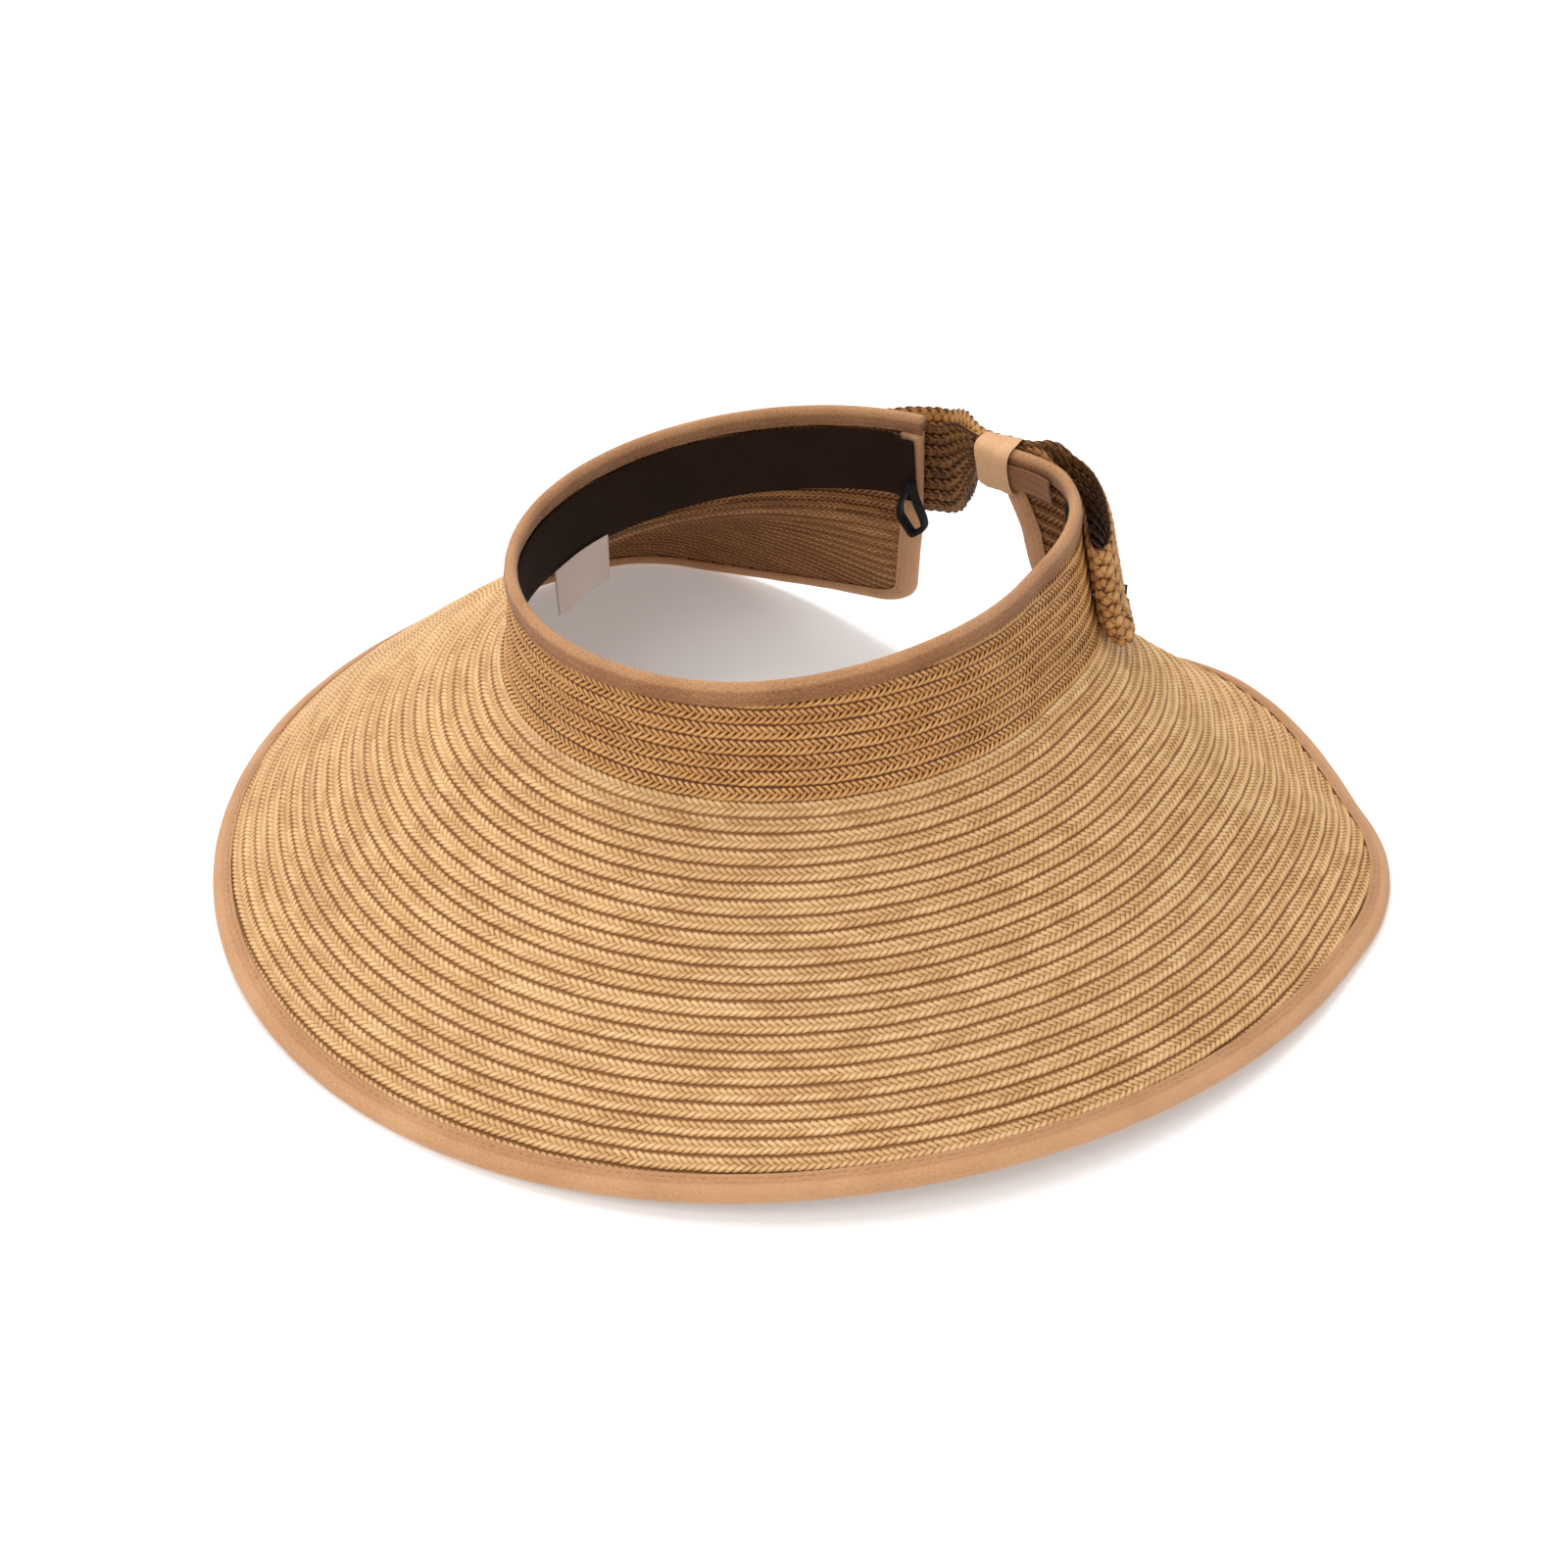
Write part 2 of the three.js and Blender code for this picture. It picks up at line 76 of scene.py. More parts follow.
# The straw's two ends: the angle at the top edge, at the brim seam and at the brim's edge. The left
# end also runs on into the knot, by this angle above the drop start and by less down to stop.
RIGHT_END = (-168.5, -165.5, -160)
LEFT_END = (166, 165, 159.5)
KNOT_FLOW = SimpleNamespace(angle=3.0, start=10, stop=34)

# The small pieces: start, stop and angle are angles, top, bottom and drop are drops, and low and height
# are heights over the straw. The sweatband ends at the angle left and steps in at its other end. The
# bow's band lies at the heights right and left of the knot, and the knot stands over it.
SWEATBAND = SimpleNamespace(top=8.0, bottom=35.5, left=148, thickness=1.2, height=-1.3, step=2.6)
LABEL = SimpleNamespace(start=-73, stop=-91, top=32.5, length=17, height=-3.1)
PATCH = SimpleNamespace(start=201, stop=216, top=14, bottom=34)
TAB = SimpleNamespace(start=154, stop=172.5, top=4, bottom=14, height=-3.5)
KNOT = SimpleNamespace(start=164.4, stop=173.6, top=-1, bottom=18, low=-5.4, over=3.1)
BAND = SimpleNamespace(right=5.0, left=2.4, start=165.6, stop=174.4)
ELASTIC = SimpleNamespace(angle=-164, drop=31, height=-8, band=5)

# The bow's wings run from the angle root to the angle tip, with their two layers at the heights inner
# and outer. sag lowers the whole tip, dip lowers the fold against the band beside it, half is half the
# band's width, and bends are two angles on the band, one near the knot and one out in the wing.
# WING_ROOT is the band in the knot: half its width, its drop, and how many degrees of it are held there.
LEFT_WING = SimpleNamespace(root=176.3, tip=219, drop=25, sag=16, inner=5.2, outer=13.5, half=20, dip=3,
                            bends=(173.6, 178.5))
RIGHT_WING = SimpleNamespace(root=163.7, tip=135, drop=23, sag=11, inner=2.1, outer=10.6, half=20.5, dip=6,
                             bends=(164.8, 160.4))
WING_ROOT = SimpleNamespace(half=8.0, drop=9, held=5.2)

# The plaits: flat strands that swing from side to side of a row. half is half a strand's width, thick
# half its thickness, and rise how far it goes over and under the others. ROW is the distance from row
# to row, and SHINGLE tilts each row over the next.
ROW = 5.25
SHINGLE = 0.17
BRIM_PLAIT = SimpleNamespace(strands=5, period=11.2, swing=1.86, half=0.84, thick=0.27, rise=0.42)
CROWN_PLAIT = SimpleNamespace(strands=5, period=11.2, swing=2.05, half=0.63, thick=0.24, rise=0.42)
BOW_PLAIT = SimpleNamespace(strands=3, period=10.95, swing=1.4, half=1.75, thick=0.26, rise=0.38)
STRAND_CORNERS = np.radians([0, 48, 132, 180, 228, 312])

# A row ends this far in from the body's border, under the tapes, and a stretch of fewer degrees than
# SHORTEST_ROW is left out. The laps between the rows end under the tapes too, and are painted dark:
# painted shade between the rows, deepest on the crown and the bow.
ROWS_UNDER_TAPE, SHORTEST_ROW = 6.4, 4
LAP = SimpleNamespace(top=5.5, border=7, crown_painted_shade=1.1, brim_painted_shade=0.75, bow_painted_shade=1.1)
NO_LAP = np.zeros((0, 2, 3, 3)), np.zeros((0, 2, 3, 3))

# The sewn seams: how far in from the bead's middle or from the cloth's top edge, how high over the straw
# (on the sweatband, over the cloth's middle), how far apart the stitches are and how long.
EDGE_SEAM = SimpleNamespace(inset=4.4, height=1.6, pitch=3.1, length=1.9)
TOP_SEAM = SimpleNamespace(inset=5.6, height=1.5, pitch=3.0, length=1.9)
BAND_SEAM = SimpleNamespace(inset=2.6, height=-0.5, pitch=3.2, length=2.1)

CAMERA = SimpleNamespace(azimuth=41.8566, elevation=32.6366, distance=945, focus_height=42, lens=64.8,
                         shift=(-0.0034, -0.0395))


# ---- Arithmetic on arrays of points ----

def smooth(start, stop, x):
    t = np.clip((x - start) / (stop - start), 0, 1)
    return t * t * (3 - 2 * t)


def unit(v):
    return v / np.maximum(np.linalg.norm(v, axis=-1, keepdims=True), 1e-12)


def sincos(angle):
    return np.sin(np.radians(angle)), np.cos(np.radians(angle))


def ripple(s, wavelengths, seed):
    """A smooth wandering line between about -1 and 1 along s."""
    phases = np.random.default_rng(seed).uniform(0, TURN, len(wavelengths))
    waves = [np.sin(TURN * s / w + p) for w, p in zip(wavelengths, phases)]
    return sum(waves) / len(wavelengths) ** 0.5


def arc(points):
    """The distance along a line of points."""
    steps = np.linalg.norm(np.diff(points, axis=0), axis=1)
    return np.concatenate([[0], np.cumsum(steps)])


# ---- The straw surface ----

def cut(angle):
    """One slice through crown and brim: an egg-shaped rim with a bulge at the back, a leaning crown,
    and a brim that is an arc as long as slant, whose edge waves and lifts at the ends."""
    s, c = sincos(angle)
    cos2 = sincos(2 * angle)[1]
    dx = HALF_WIDTH * (c * (1 + EGG * c) - EGG * s * s)
    dy = HALF_LENGTH * s
    nx, ny = dy / np.hypot(dx, dy), -dx / np.hypot(dx, dy)
    turn = angle % 360
    bulge = BACK_BULGE * smooth(105, 147, turn) * (1 - smooth(150, 172, turn))
    x = HALF_WIDTH * s * (1 + EGG * c) + nx * bulge
    y = SHIFT_Y - HALF_LENGTH * c + ny * bulge
    away = np.abs((angle + 180) % 360 - 180)
    left = s > 0
    side = lambda pair: np.where(left, pair.left, pair.right)
    narrowing = np.clip((away - side(NARROW_FROM)) / (TAPER_TO - side(NARROW_FROM)), 0, 1)
    at_end = np.where(left, narrowing ** 2, narrowing ** 2 * (3 - 2 * narrowing))
    ear = smooth(25, 75, angle) * (1 - smooth(75, 125, angle))
    top = RIM_HEIGHT + 0.0303 * y - 0.0058 * x + EAR_RISE * ear
    seam = SEAM_HEIGHT + 3.4 * c - 2.2 * s - 1.5 * cos2
    flare = CROWN_FLARE - 4.57 * c
    slant = (BRIM_SLANT - 8 * c + 4.8 * cos2 + 0.7 * s) * (1 - END_NARROWING * at_end)
    wave = np.where(away < 125, np.sin(np.pi * away / 125) ** 2, 0)
    rise = side(END_LIFT) * smooth(side(LIFT_FROM), TAPER_TO, away)
    edge = FLOOR_CLEARANCE + wave * side(EDGE_LIFT) + rise
    bend = np.radians((2.1 - 4 * c - 6 * s) * (1 - at_end) - 13 * at_end) + 1e-6
    slope = np.arcsin(np.minimum(0.99, (seam - edge) / slant * bend / np.sin(bend)))
    return SimpleNamespace(
        x=x, y=y, nx=nx, ny=ny, top=top, seam=seam, flare=flare, slant=slant, bend=bend,
        slope=slope, at_end=at_end, crown=np.hypot(flare, top - seam))


def on_surface(angle, drop):
    """Points on the straw. Averaging along the drop rounds the brim seam off."""
    angle, drop = np.broadcast_arrays(np.asarray(angle, float), np.asarray(drop, float))
    here = cut(angle)
    reach = FILLET + (END_FILLET - FILLET) * here.at_end
    out, down = 0, 0
    for step in (-1, -0.5, 0, 0.5, 1):
        d = drop + step * reach
        lean = here.slope + here.bend * (2 * (d - here.crown) / here.slant - 1)
        start = here.slope - here.bend
        scale = here.slant / (2 * here.bend)
        upper = d <= here.crown
        brim_out = here.flare + scale * (np.sin(lean) - np.sin(start))
        brim_down = here.top - here.seam + scale * (np.cos(start) - np.cos(lean))
        out = out + np.where(upper, here.flare * d / here.crown, brim_out) / 5
        down = down + np.where(upper, (here.top - here.seam) * d / here.crown, brim_down) / 5
    place = np.stack([here.x + here.nx * out, here.y + here.ny * out, here.top - down], axis=-1)
    return place - ORIGIN


def normal_at(angle, drop):
    around = on_surface(angle + 0.1, drop) - on_surface(angle - 0.1, drop)
    down = on_surface(angle, drop + 0.3) - on_surface(angle, drop - 0.3)
    return unit(np.cross(down, around))


def at(angle, drop, height):
    return on_surface(angle, drop) + normal_at(angle, drop) * np.asarray(height)[..., None]


def total(angle):
    here = cut(angle)
    return here.crown + here.slant


def degree_length(angle, drop):
    """The length on the straw of one degree of angle."""
    return np.linalg.norm(on_surface(angle + 0.3, drop) - on_surface(angle - 0.3, drop), axis=-1) / 0.6


def end_angle(end, drop, inset):
    """The angle of one end of the straw at a drop, moved in by an inset."""
    here = cut(np.asarray(float(end[1])))
    upper = np.minimum(1, drop / here.crown)
    lower = np.maximum(0, (drop - here.crown) / here.slant)
    angle = end[0] + (end[1] - end[0]) * upper + (end[2] - end[1]) * lower
    if end[0] > 0:
        angle = angle + KNOT_FLOW.angle * (1 - smooth(KNOT_FLOW.start, KNOT_FLOW.stop, drop))
    return angle - np.sign(end[0]) * inset / degree_length(angle, drop)


def corner(end, inset):
    """A rounded lower corner, from the end's side to the brim's edge, as angles and drops."""
    radius = CORNER_RADIUS - inset
    s, c = sincos(np.linspace(0, 90, 14))
    from_end, from_edge = inset + radius * (1 - c), inset + radius * (1 - s)
    angle = np.full(len(s), float(end[2]))
    for _ in range(6):
        angle = end_angle(end, total(angle) - from_edge, from_end)
    return angle, total(angle) - from_edge


def edge_path(inset):
    """Down the right end, round the brim and up the left end, as angles and drops."""
    right, left = corner(RIGHT_END, inset), corner(LEFT_END, inset)
    top = TOP_TAPE_DROP + 1
    down = np.linspace(top, right[1][0], 45)[:-1]
    up = np.linspace(left[1][0], top, 45)[1:]
    edge = np.linspace(right[0][-1], left[0][-1], 760)[1:-1]
    angle = np.concatenate([
        end_angle(RIGHT_END, down, inset), right[0], edge, left[0][::-1], end_angle(LEFT_END, up, inset)])
    drop = np.concatenate([down, right[1], total(edge) - inset, left[1][::-1], up])
    return angle, drop


def border_distance(angle, drop):
    """How far a place on the straw is from the body's border, round the corners."""
    from_edge = total(angle) - drop
    nearest = drop + 2.0
    for end in (RIGHT_END, LEFT_END):
        limit = end_angle(end, drop, 0)
        from_end = np.sign(end[0]) * (limit - angle) * degree_length(angle, drop)
        a = np.maximum(0, CORNER_RADIUS - from_end)
        b = np.maximum(0, CORNER_RADIUS - from_edge)
        rounded = CORNER_RADIUS - np.hypot(a, b)
        flat = np.minimum(from_end, from_edge)
        nearest = np.minimum(nearest, np.where((a > 0) & (b > 0), rounded, flat))
    return nearest


# ---- Meshes ----

def make_mesh(name, points, faces, material, weave=None):
    """A smooth-shaded object from points in millimetres and four-cornered faces."""
    mesh = bpy.data.meshes.new(name)
    points = points.reshape(-1, 3)
    faces = faces.reshape(-1, 4)
    mesh.vertices.add(len(points))
    mesh.vertices.foreach_set("co", (points * MM).astype(np.float32).ravel())
    mesh.loops.add(faces.size)
    mesh.loops.foreach_set("vertex_index", faces.astype(np.int32).ravel())
    mesh.polygons.add(len(faces))
    mesh.polygons.foreach_set("loop_start", np.arange(0, faces.size, 4, dtype=np.int32))
    mesh.polygons.foreach_set("use_smooth", np.ones(len(faces), bool))
    if weave is not None:
        layer = mesh.attributes.new("weave", "FLOAT_VECTOR", "POINT")
        layer.data.foreach_set("vector", weave.astype(np.float32).ravel())
    mesh.update(calc_edges=True)
    mesh.materials.append(material)
    made = bpy.data.objects.new(name, mesh)
    bpy.context.scene.collection.objects.link(made)
    return made


def quads(index, loop=False):
    """Four-cornered faces between neighbouring rings of a (tubes, stations, around) index."""
    here = index if loop else index[:, :-1]
    there = np.roll(index, -1, axis=1) if loop else index[:, 1:]
    return np.stack([here, np.roll(here, -1, axis=2), np.roll(there, -1, axis=2), there], axis=-1)


def loft(name, rings, material, weave, loop=False):
    """Closed tubes from rings of points, as (tubes, stations, around, 3). Each end of a tube is
    drawn together to a point, or joined to the other end where the tube is a loop."""
    if rings.ndim == 3:
        rings, weave = rings[None], weave[None]
    if not loop:
        middle = rings[:, [0, -1]].mean(axis=2, keepdims=True).repeat(rings.shape[2], axis=2)
        rings = np.concatenate([middle[:, :1], rings, middle[:, 1:]], axis=1)
        weave = np.concatenate([weave[:, :1], weave, weave[:, -1:]], axis=1)
    points = rings.reshape(-1, 3)
    faces = quads(np.arange(len(points)).reshape(rings.shape[:3]), loop)[..., [0, 3, 2, 1]]
    a, b, c, d = (points[faces[..., i].ravel()] for i in range(4))
    volume = (a * np.cross(b, c)).sum() + (a * np.cross(c, d)).sum()
    if volume < 0:
        faces = faces[..., ::-1]
    return make_mesh(name, points, faces, material, weave)


def slab(middle, normal, thickness, squareness=8):
    """Rings round a sheet's middle surface, (stations, across, 3), thinning at the two long edges."""
    v = np.linspace(-1, 1, middle.shape[1])
    half = np.asarray(thickness) / 2 * (1 - np.abs(v) ** squareness) ** 0.5
    lifted = normal * np.broadcast_to(half, middle.shape[:2])[..., None]
    return np.concatenate([middle + lifted, (middle - lifted)[:, ::-1]], axis=1)


def cloth_weave(rings, tone=0.0):
    """Distances along and round each ring, for the weave of a cloth, and how pale each place is."""
    along = np.array([arc(rings[:, i]) for i in range(rings.shape[1])]).T.mean(axis=1)
    round_it = arc(rings[len(rings) // 2])
    return np.stack(np.broadcast_arrays(along[:, None], round_it[None], tone), axis=-1)


# ---- Materials ----

def node(tree, kind, settings=None, **inputs):
    """A shader node. An input is a number, a colour or another node's output."""
    made = tree.nodes.new("ShaderNode" + kind)
    for key, value in (settings or {}).items():
        setattr(made, key, value)
    for key, value in inputs.items():
        socket = made.inputs[int(key[1:])] if key[1:].isdigit() else made.inputs[key.replace("_", " ")]
        if isinstance(value, bpy.types.NodeSocket):
            tree.links.new(value, socket)
        else:
            socket.default_value = value
    return made


def new_material(name, roughness, sheen=0.0, specular=0.35):
    material = bpy.data.materials.new(name)
    material.use_nodes = True
    tree = material.node_tree
    shader = tree.nodes["Principled BSDF"]
    shader.inputs["Roughness"].default_value = roughness
    shader.inputs["Specular IOR Level"].default_value = specular
    shader.inputs["Sheen Weight"].default_value = sheen
    shader.inputs["Sheen Roughness"].default_value = 0.5
    return material, tree, shader


def math_node(tree, operation, a, b=0.0):
    return node(tree, "Math", {"operation": operation}, _0=a, _1=b).outputs[0]


def ramp(tree, factor, stops):
    made = node(tree, "ValToRGB", Fac=factor)
    elements = made.color_ramp.elements
    for i, (position, colour) in enumerate(stops):
        element = elements[i] if i < 2 else elements.new(position)
        element.position = position
        element.color = colour
    return made.outputs["Color"]


def srgb(r, g, b):
    def line(v):
        v = v / 255
        return v / 12.92 if v <= 0.04045 else ((v + 0.055) / 1.055) ** 2.4
    return (line(r), line(g), line(b), 1.0)


def weave_parts(tree):
    attribute = node(tree, "Attribute", {"attribute_name": "weave"})
    parts = node(tree, "SeparateXYZ", Vector=attribute.outputs["Vector"])
    return parts.outputs[0], parts.outputs[1], parts.outputs[2]


def straw_material(name, dark, middle, light):
    """Twisted paper strands: creases along each strand, painted shade at its edges and on the under side,
    and every crossing in its own tone, painted lighter where a strand lies over and darker where it dives
    under."""
    material, tree, shader = new_material(name, roughness=0.55, sheen=0.0, specular=0.3)
    along, across, tone = weave_parts(tree)
    place = node(tree, "CombineXYZ", X=math_node(tree, "MULTIPLY", along, 0.35),
                 Y=math_node(tree, "MULTIPLY", across, 3.2), Z=math_node(tree, "MULTIPLY", tone, 41.0))
    creases = node(tree, "TexNoise", Vector=place.outputs[0], Scale=1.0, Detail=3.0).outputs[0]
    where = node(tree, "TexCoord").outputs["Object"]
    patches = node(tree, "TexNoise", Vector=where, Scale=22.0, Detail=2.0).outputs[0]
    # Painted shade: a strand is painted darker towards its edges, and the laps, by their painted shade
    # value, darker still.
    edge = math_node(tree, "POWER", math_node(tree, "ABSOLUTE", across), 3.0)
    shade = math_node(tree, "MULTIPLY", tone, 0.2)
    shade = math_node(tree, "ADD", shade, math_node(tree, "MULTIPLY", creases, 0.5))
    shade = math_node(tree, "ADD", shade, math_node(tree, "MULTIPLY", patches, 0.14))
    shade = math_node(tree, "SUBTRACT", shade, math_node(tree, "MULTIPLY", edge, 0.42))
    colour = ramp(tree, shade, [(0.1, dark), (0.4, middle), (0.68, light)])
    tree.links.new(colour, shader.inputs["Base Color"])
    bump = node(tree, "Bump", Strength=0.5, Distance=0.00025, Height=creases)
    tree.links.new(bump.outputs[0], shader.inputs["Normal"])
    return material


def cloth_material(name, dark, light, thread, roughness=0.8, sheen=0.3, bump=0.4, specular=0.25):
    """Woven cloth with threads this far apart, slightly uneven in colour."""
    material, tree, shader = new_material(name, roughness, sheen, specular)
    along, across, tone = weave_parts(tree)
    threads = []
    for coordinate in (along, across):
        angle = math_node(tree, "MULTIPLY", coordinate, TURN / thread)
        threads.append(math_node(tree, "SINE", angle))
    crossing = math_node(tree, "MULTIPLY", threads[0], threads[1])
    place = node(tree, "CombineXYZ", X=along, Y=across)
    slubs = node(tree, "TexNoise", Vector=place.outputs[0], Scale=1.2, Detail=4.0).outputs[0]
    where = node(tree, "TexCoord").outputs["Object"]
    wear = node(tree, "TexNoise", Vector=where, Scale=45.0, Detail=3.0).outputs[0]
    shade = math_node(tree, "MULTIPLY", crossing, 0.16)
    shade = math_node(tree, "ADD", shade, math_node(tree, "MULTIPLY", slubs, 0.45))
    shade = math_node(tree, "ADD", shade, math_node(tree, "MULTIPLY", wear, 0.3))
    # The tone adds each point's paleness: random on stitches and pile, and on the tapes a painted highlight
    # on bead and rim and painted shade below.
    shade = math_node(tree, "ADD", shade, math_node(tree, "MULTIPLY", tone, 0.8))
    colour = ramp(tree, shade, [(0.15, dark), (0.6, light)])
    tree.links.new(colour, shader.inputs["Base Color"])
    height = math_node(tree, "ADD", crossing, math_node(tree, "MULTIPLY", slubs, 1.5))
    relief = node(tree, "Bump", Strength=bump, Distance=0.00015, Height=height)
    tree.links.new(relief.outputs[0], shader.inputs["Normal"])
    return material


def plastic_material(name, dark, light):
    """A moulded cord: nearly even, with faint clouds in it."""
    material, tree, shader = new_material(name, roughness=0.4)
    where = node(tree, "TexCoord").outputs["Object"]
    clouds = node(tree, "TexNoise", Vector=where, Scale=300.0, Detail=2.0).outputs[0]
    tree.links.new(ramp(tree, clouds, [(0.3, dark), (0.7, light)]), shader.inputs["Base Color"])
    return material


STRAW = straw_material("straw", srgb(140, 90, 46), srgb(208, 160, 104), srgb(242, 202, 148))
# The crown's straw has a darker darkest stop than the brim's: painted shade in the holes of its open plait.
CROWN_STRAW = straw_material("crown_straw", srgb(98, 54, 22), srgb(200, 142, 80), srgb(232, 180, 118))
# The bow's straw is the brim's straw in darker stops: painted shade on the bow's wings.
SHADED_BOW_STRAW = straw_material("bow_straw_painted_shade", srgb(66, 34, 12), srgb(182, 128, 72), srgb(218, 170, 112))
TAPE = cloth_material("binding", srgb(168, 114, 72), srgb(220, 170, 126), thread=0.7, sheen=0.15)
# The crown's tape is the binding in darker colours: painted shade on its upright lower part.
TOP_TAPE = cloth_material("crown_tape", srgb(122, 74, 38), srgb(214, 162, 116), thread=0.7, sheen=0.1)
# The knot is the tape in paler colours: painted light on the knot.
LIT_KNOT_TAPE = cloth_material("knot_tape_painted_light", srgb(196, 144, 98), srgb(240, 194, 148), thread=0.7, sheen=0.15)
THREAD = cloth_material("thread", srgb(176, 126, 84), srgb(206, 158, 112), thread=0.3)
CROWN_THREAD = cloth_material("crown_thread", srgb(126, 80, 44), srgb(170, 118, 76), thread=0.3)
DARK_CLOTH = cloth_material("dark_cloth", srgb(28, 16, 9), srgb(50, 31, 19), thread=0.8, sheen=0.0,
                            specular=0.1)
DARK_THREAD = cloth_material("dark_thread", srgb(24, 16, 11), srgb(40, 28, 20), thread=0.3, sheen=0.0)
# The tab's tape in dark brown: painted shade inside the crown.
SHADED_TAB_TAPE = cloth_material("tab_tape_painted_shade", srgb(112, 66, 32), srgb(160, 104, 58), thread=0.8)
SATIN = cloth_material("label_satin", srgb(198, 174, 160), srgb(228, 210, 198), thread=0.35,
                       roughness=0.45, bump=0.2)
RUBBER = cloth_material("elastic", srgb(9, 8, 8), srgb(26, 24, 23), thread=0.9, roughness=0.6, sheen=0.0)
FUZZ = cloth_material("hook_and_loop", srgb(150, 110, 72), srgb(186, 146, 104), thread=1.3, bump=1.0)
BONING = plastic_material("boning", srgb(196, 190, 178), srgb(214, 208, 196))


# ---- The plait ----

def even_steps(surface, v, start, stop, step):
    """Values of q from start to stop that are evenly spaced along the surface's line at v."""
    dense = np.linspace(start, stop, 1200)
    distance = arc(surface(dense, v))
    count = max(4, int(distance[-1] / step))
    return np.interp(np.linspace(0, distance[-1], count), distance, dense)


def plait_row(plait, surface, v, start, stop, nudge, squeeze=None):
    """Rings and weave coordinates of one row's strands on surface(q, v). Each strand swings across
    the row and passes over its neighbours one way and under them the other way."""
    q = even_steps(surface, v, start, stop, plait.period / 11)
    centre = surface(q, v)
    side = unit(surface(q, v + nudge) - surface(q, v - nudge))
    along = unit(np.gradient(centre, axis=0))
    up = unit(np.cross(side, along))
    side, up = unit(side + SHINGLE * up), unit(up - SHINGLE * side)
    scale = np.ones(len(q)) if squeeze is None else squeeze(q)
    s = arc(centre)
    seed = int(rng.integers(1 << 30))
    phase = TURN * s / plait.period + 0.25 * ripple(s, (31, 47, 83), seed) + rng.uniform(0, TURN)
    phase = phase[None] + np.arange(plait.strands)[:, None] * TURN / plait.strands
    sway = plait.swing * scale * (1 + 0.06 * ripple(s, (13, 29), seed + 1))
    lateral = sway * np.sin(phase)
    over = -np.sin(2 * phase)
    line = centre + side * lateral[..., None] + up * (plait.rise * over)[..., None]
    direction = unit(np.gradient(line, axis=1))
    face = unit(up - direction * (up * direction).sum(axis=-1, keepdims=True))
    across = np.cross(direction, face)
    width = plait.half * scale * (1 + 0.07 * ripple(s, (9, 17, 37), seed + 2))
    flat = np.cos(STRAND_CORNERS) * width[..., None]
    thick = np.sin(STRAND_CORNERS) * plait.thick / np.sin(STRAND_CORNERS[1])
    rings = (line[:, :, None] + across[:, :, None] * flat[..., None]
             + face[:, :, None] * thick[:, None])
    crossing = np.floor((phase + TURN / 4) / (TURN / 2)).astype(int)
    tones = rng.random(crossing.max() - crossing.min() + 1)[crossing - crossing.min()]
    # Painted highlight and shade: a strand is painted lighter where it lies over the others and darker where
    # it dives under them.
    tones = 0.8 * tones + 0.2 * rng.random() + 0.9 * over
    # Painted shade: the strand's under side is painted darker.
    shade = tones[..., None] - 0.3 * (np.sin(STRAND_CORNERS) < -0.1)
    weave = np.stack(np.broadcast_arrays(
        (s + 57 * rng.random())[None, :, None], np.cos(STRAND_CORNERS)[None, None], shade), axis=-1)
    return rings, weave


def lap(middle, normal, painted_shade):
    """The sewn laps between the rows, as one thin layer in the middle of the plait, painted dark as the
    shade between the rows.
    """
    rings = slab(middle, normal, 0.2)[None]
    weave = np.broadcast_to([0.0, painted_shade, 0.2], rings.shape)
    return rings, weave


def braid(name, material, plait, surface, rows, nudge, lapped, squeeze=None):
    """One object from several rows, each (v, start, stop), and the laps between them."""
    made = [plait_row(plait, surface, v, start, stop, nudge, squeeze) for v, start, stop in rows]
    made.append(lapped)
    points, faces, weaves, used = [], [], [], 0
    for rings, weave in made:
        tubes, stations, around = rings.shape[:3]
        index = used + np.arange(tubes * stations * around).reshape(tubes, stations, around)
        faces.append(quads(index).reshape(-1, 4))
        points.append(rings.reshape(-1, 3))
        weaves.append(weave.reshape(-1, 3))
        used += tubes * stations * around
    return make_mesh(
        name, np.concatenate(points), np.concatenate(faces), material, np.concatenate(weaves))


# ---- Crown and brim ----

def body_surface(angle, offset):
    """The straw body, with offset measured down from the brim seam."""
    return on_surface(angle, seam_drop(angle) + offset)


def row_spans(offset):
    """The stretches of a row inside the border, as (offset, from, to), their ends under the tapes."""
    angle = np.linspace(-169, 171, 1700)
    inside = border_distance(angle, seam_drop(angle) + offset) > ROWS_UNDER_TAPE
    changes = np.flatnonzero(np.diff(np.concatenate([[0], inside.astype(int), [0]])))
    spans = [(offset, angle[a], angle[b - 1]) for a, b in zip(changes[::2], changes[1::2])]
    return [span for span in spans if span[2] - span[1] > SHORTEST_ROW]


def spans_of(rows, sign):
    return [span for i in rows for span in row_spans(sign * (i + 0.5) * ROW)]


def crown_squeeze(angle):
    """The crown's rows are worked more openly, except towards its left end."""
    return 1 + 0.12 * smooth(132, 146, angle)


def seam_drop(angle):
    return cut(angle).crown


def top_lap_drop(angle):
    return LAP.top + 0 * angle


def edge_lap_drop(angle):
    return total(angle) - LAP.border


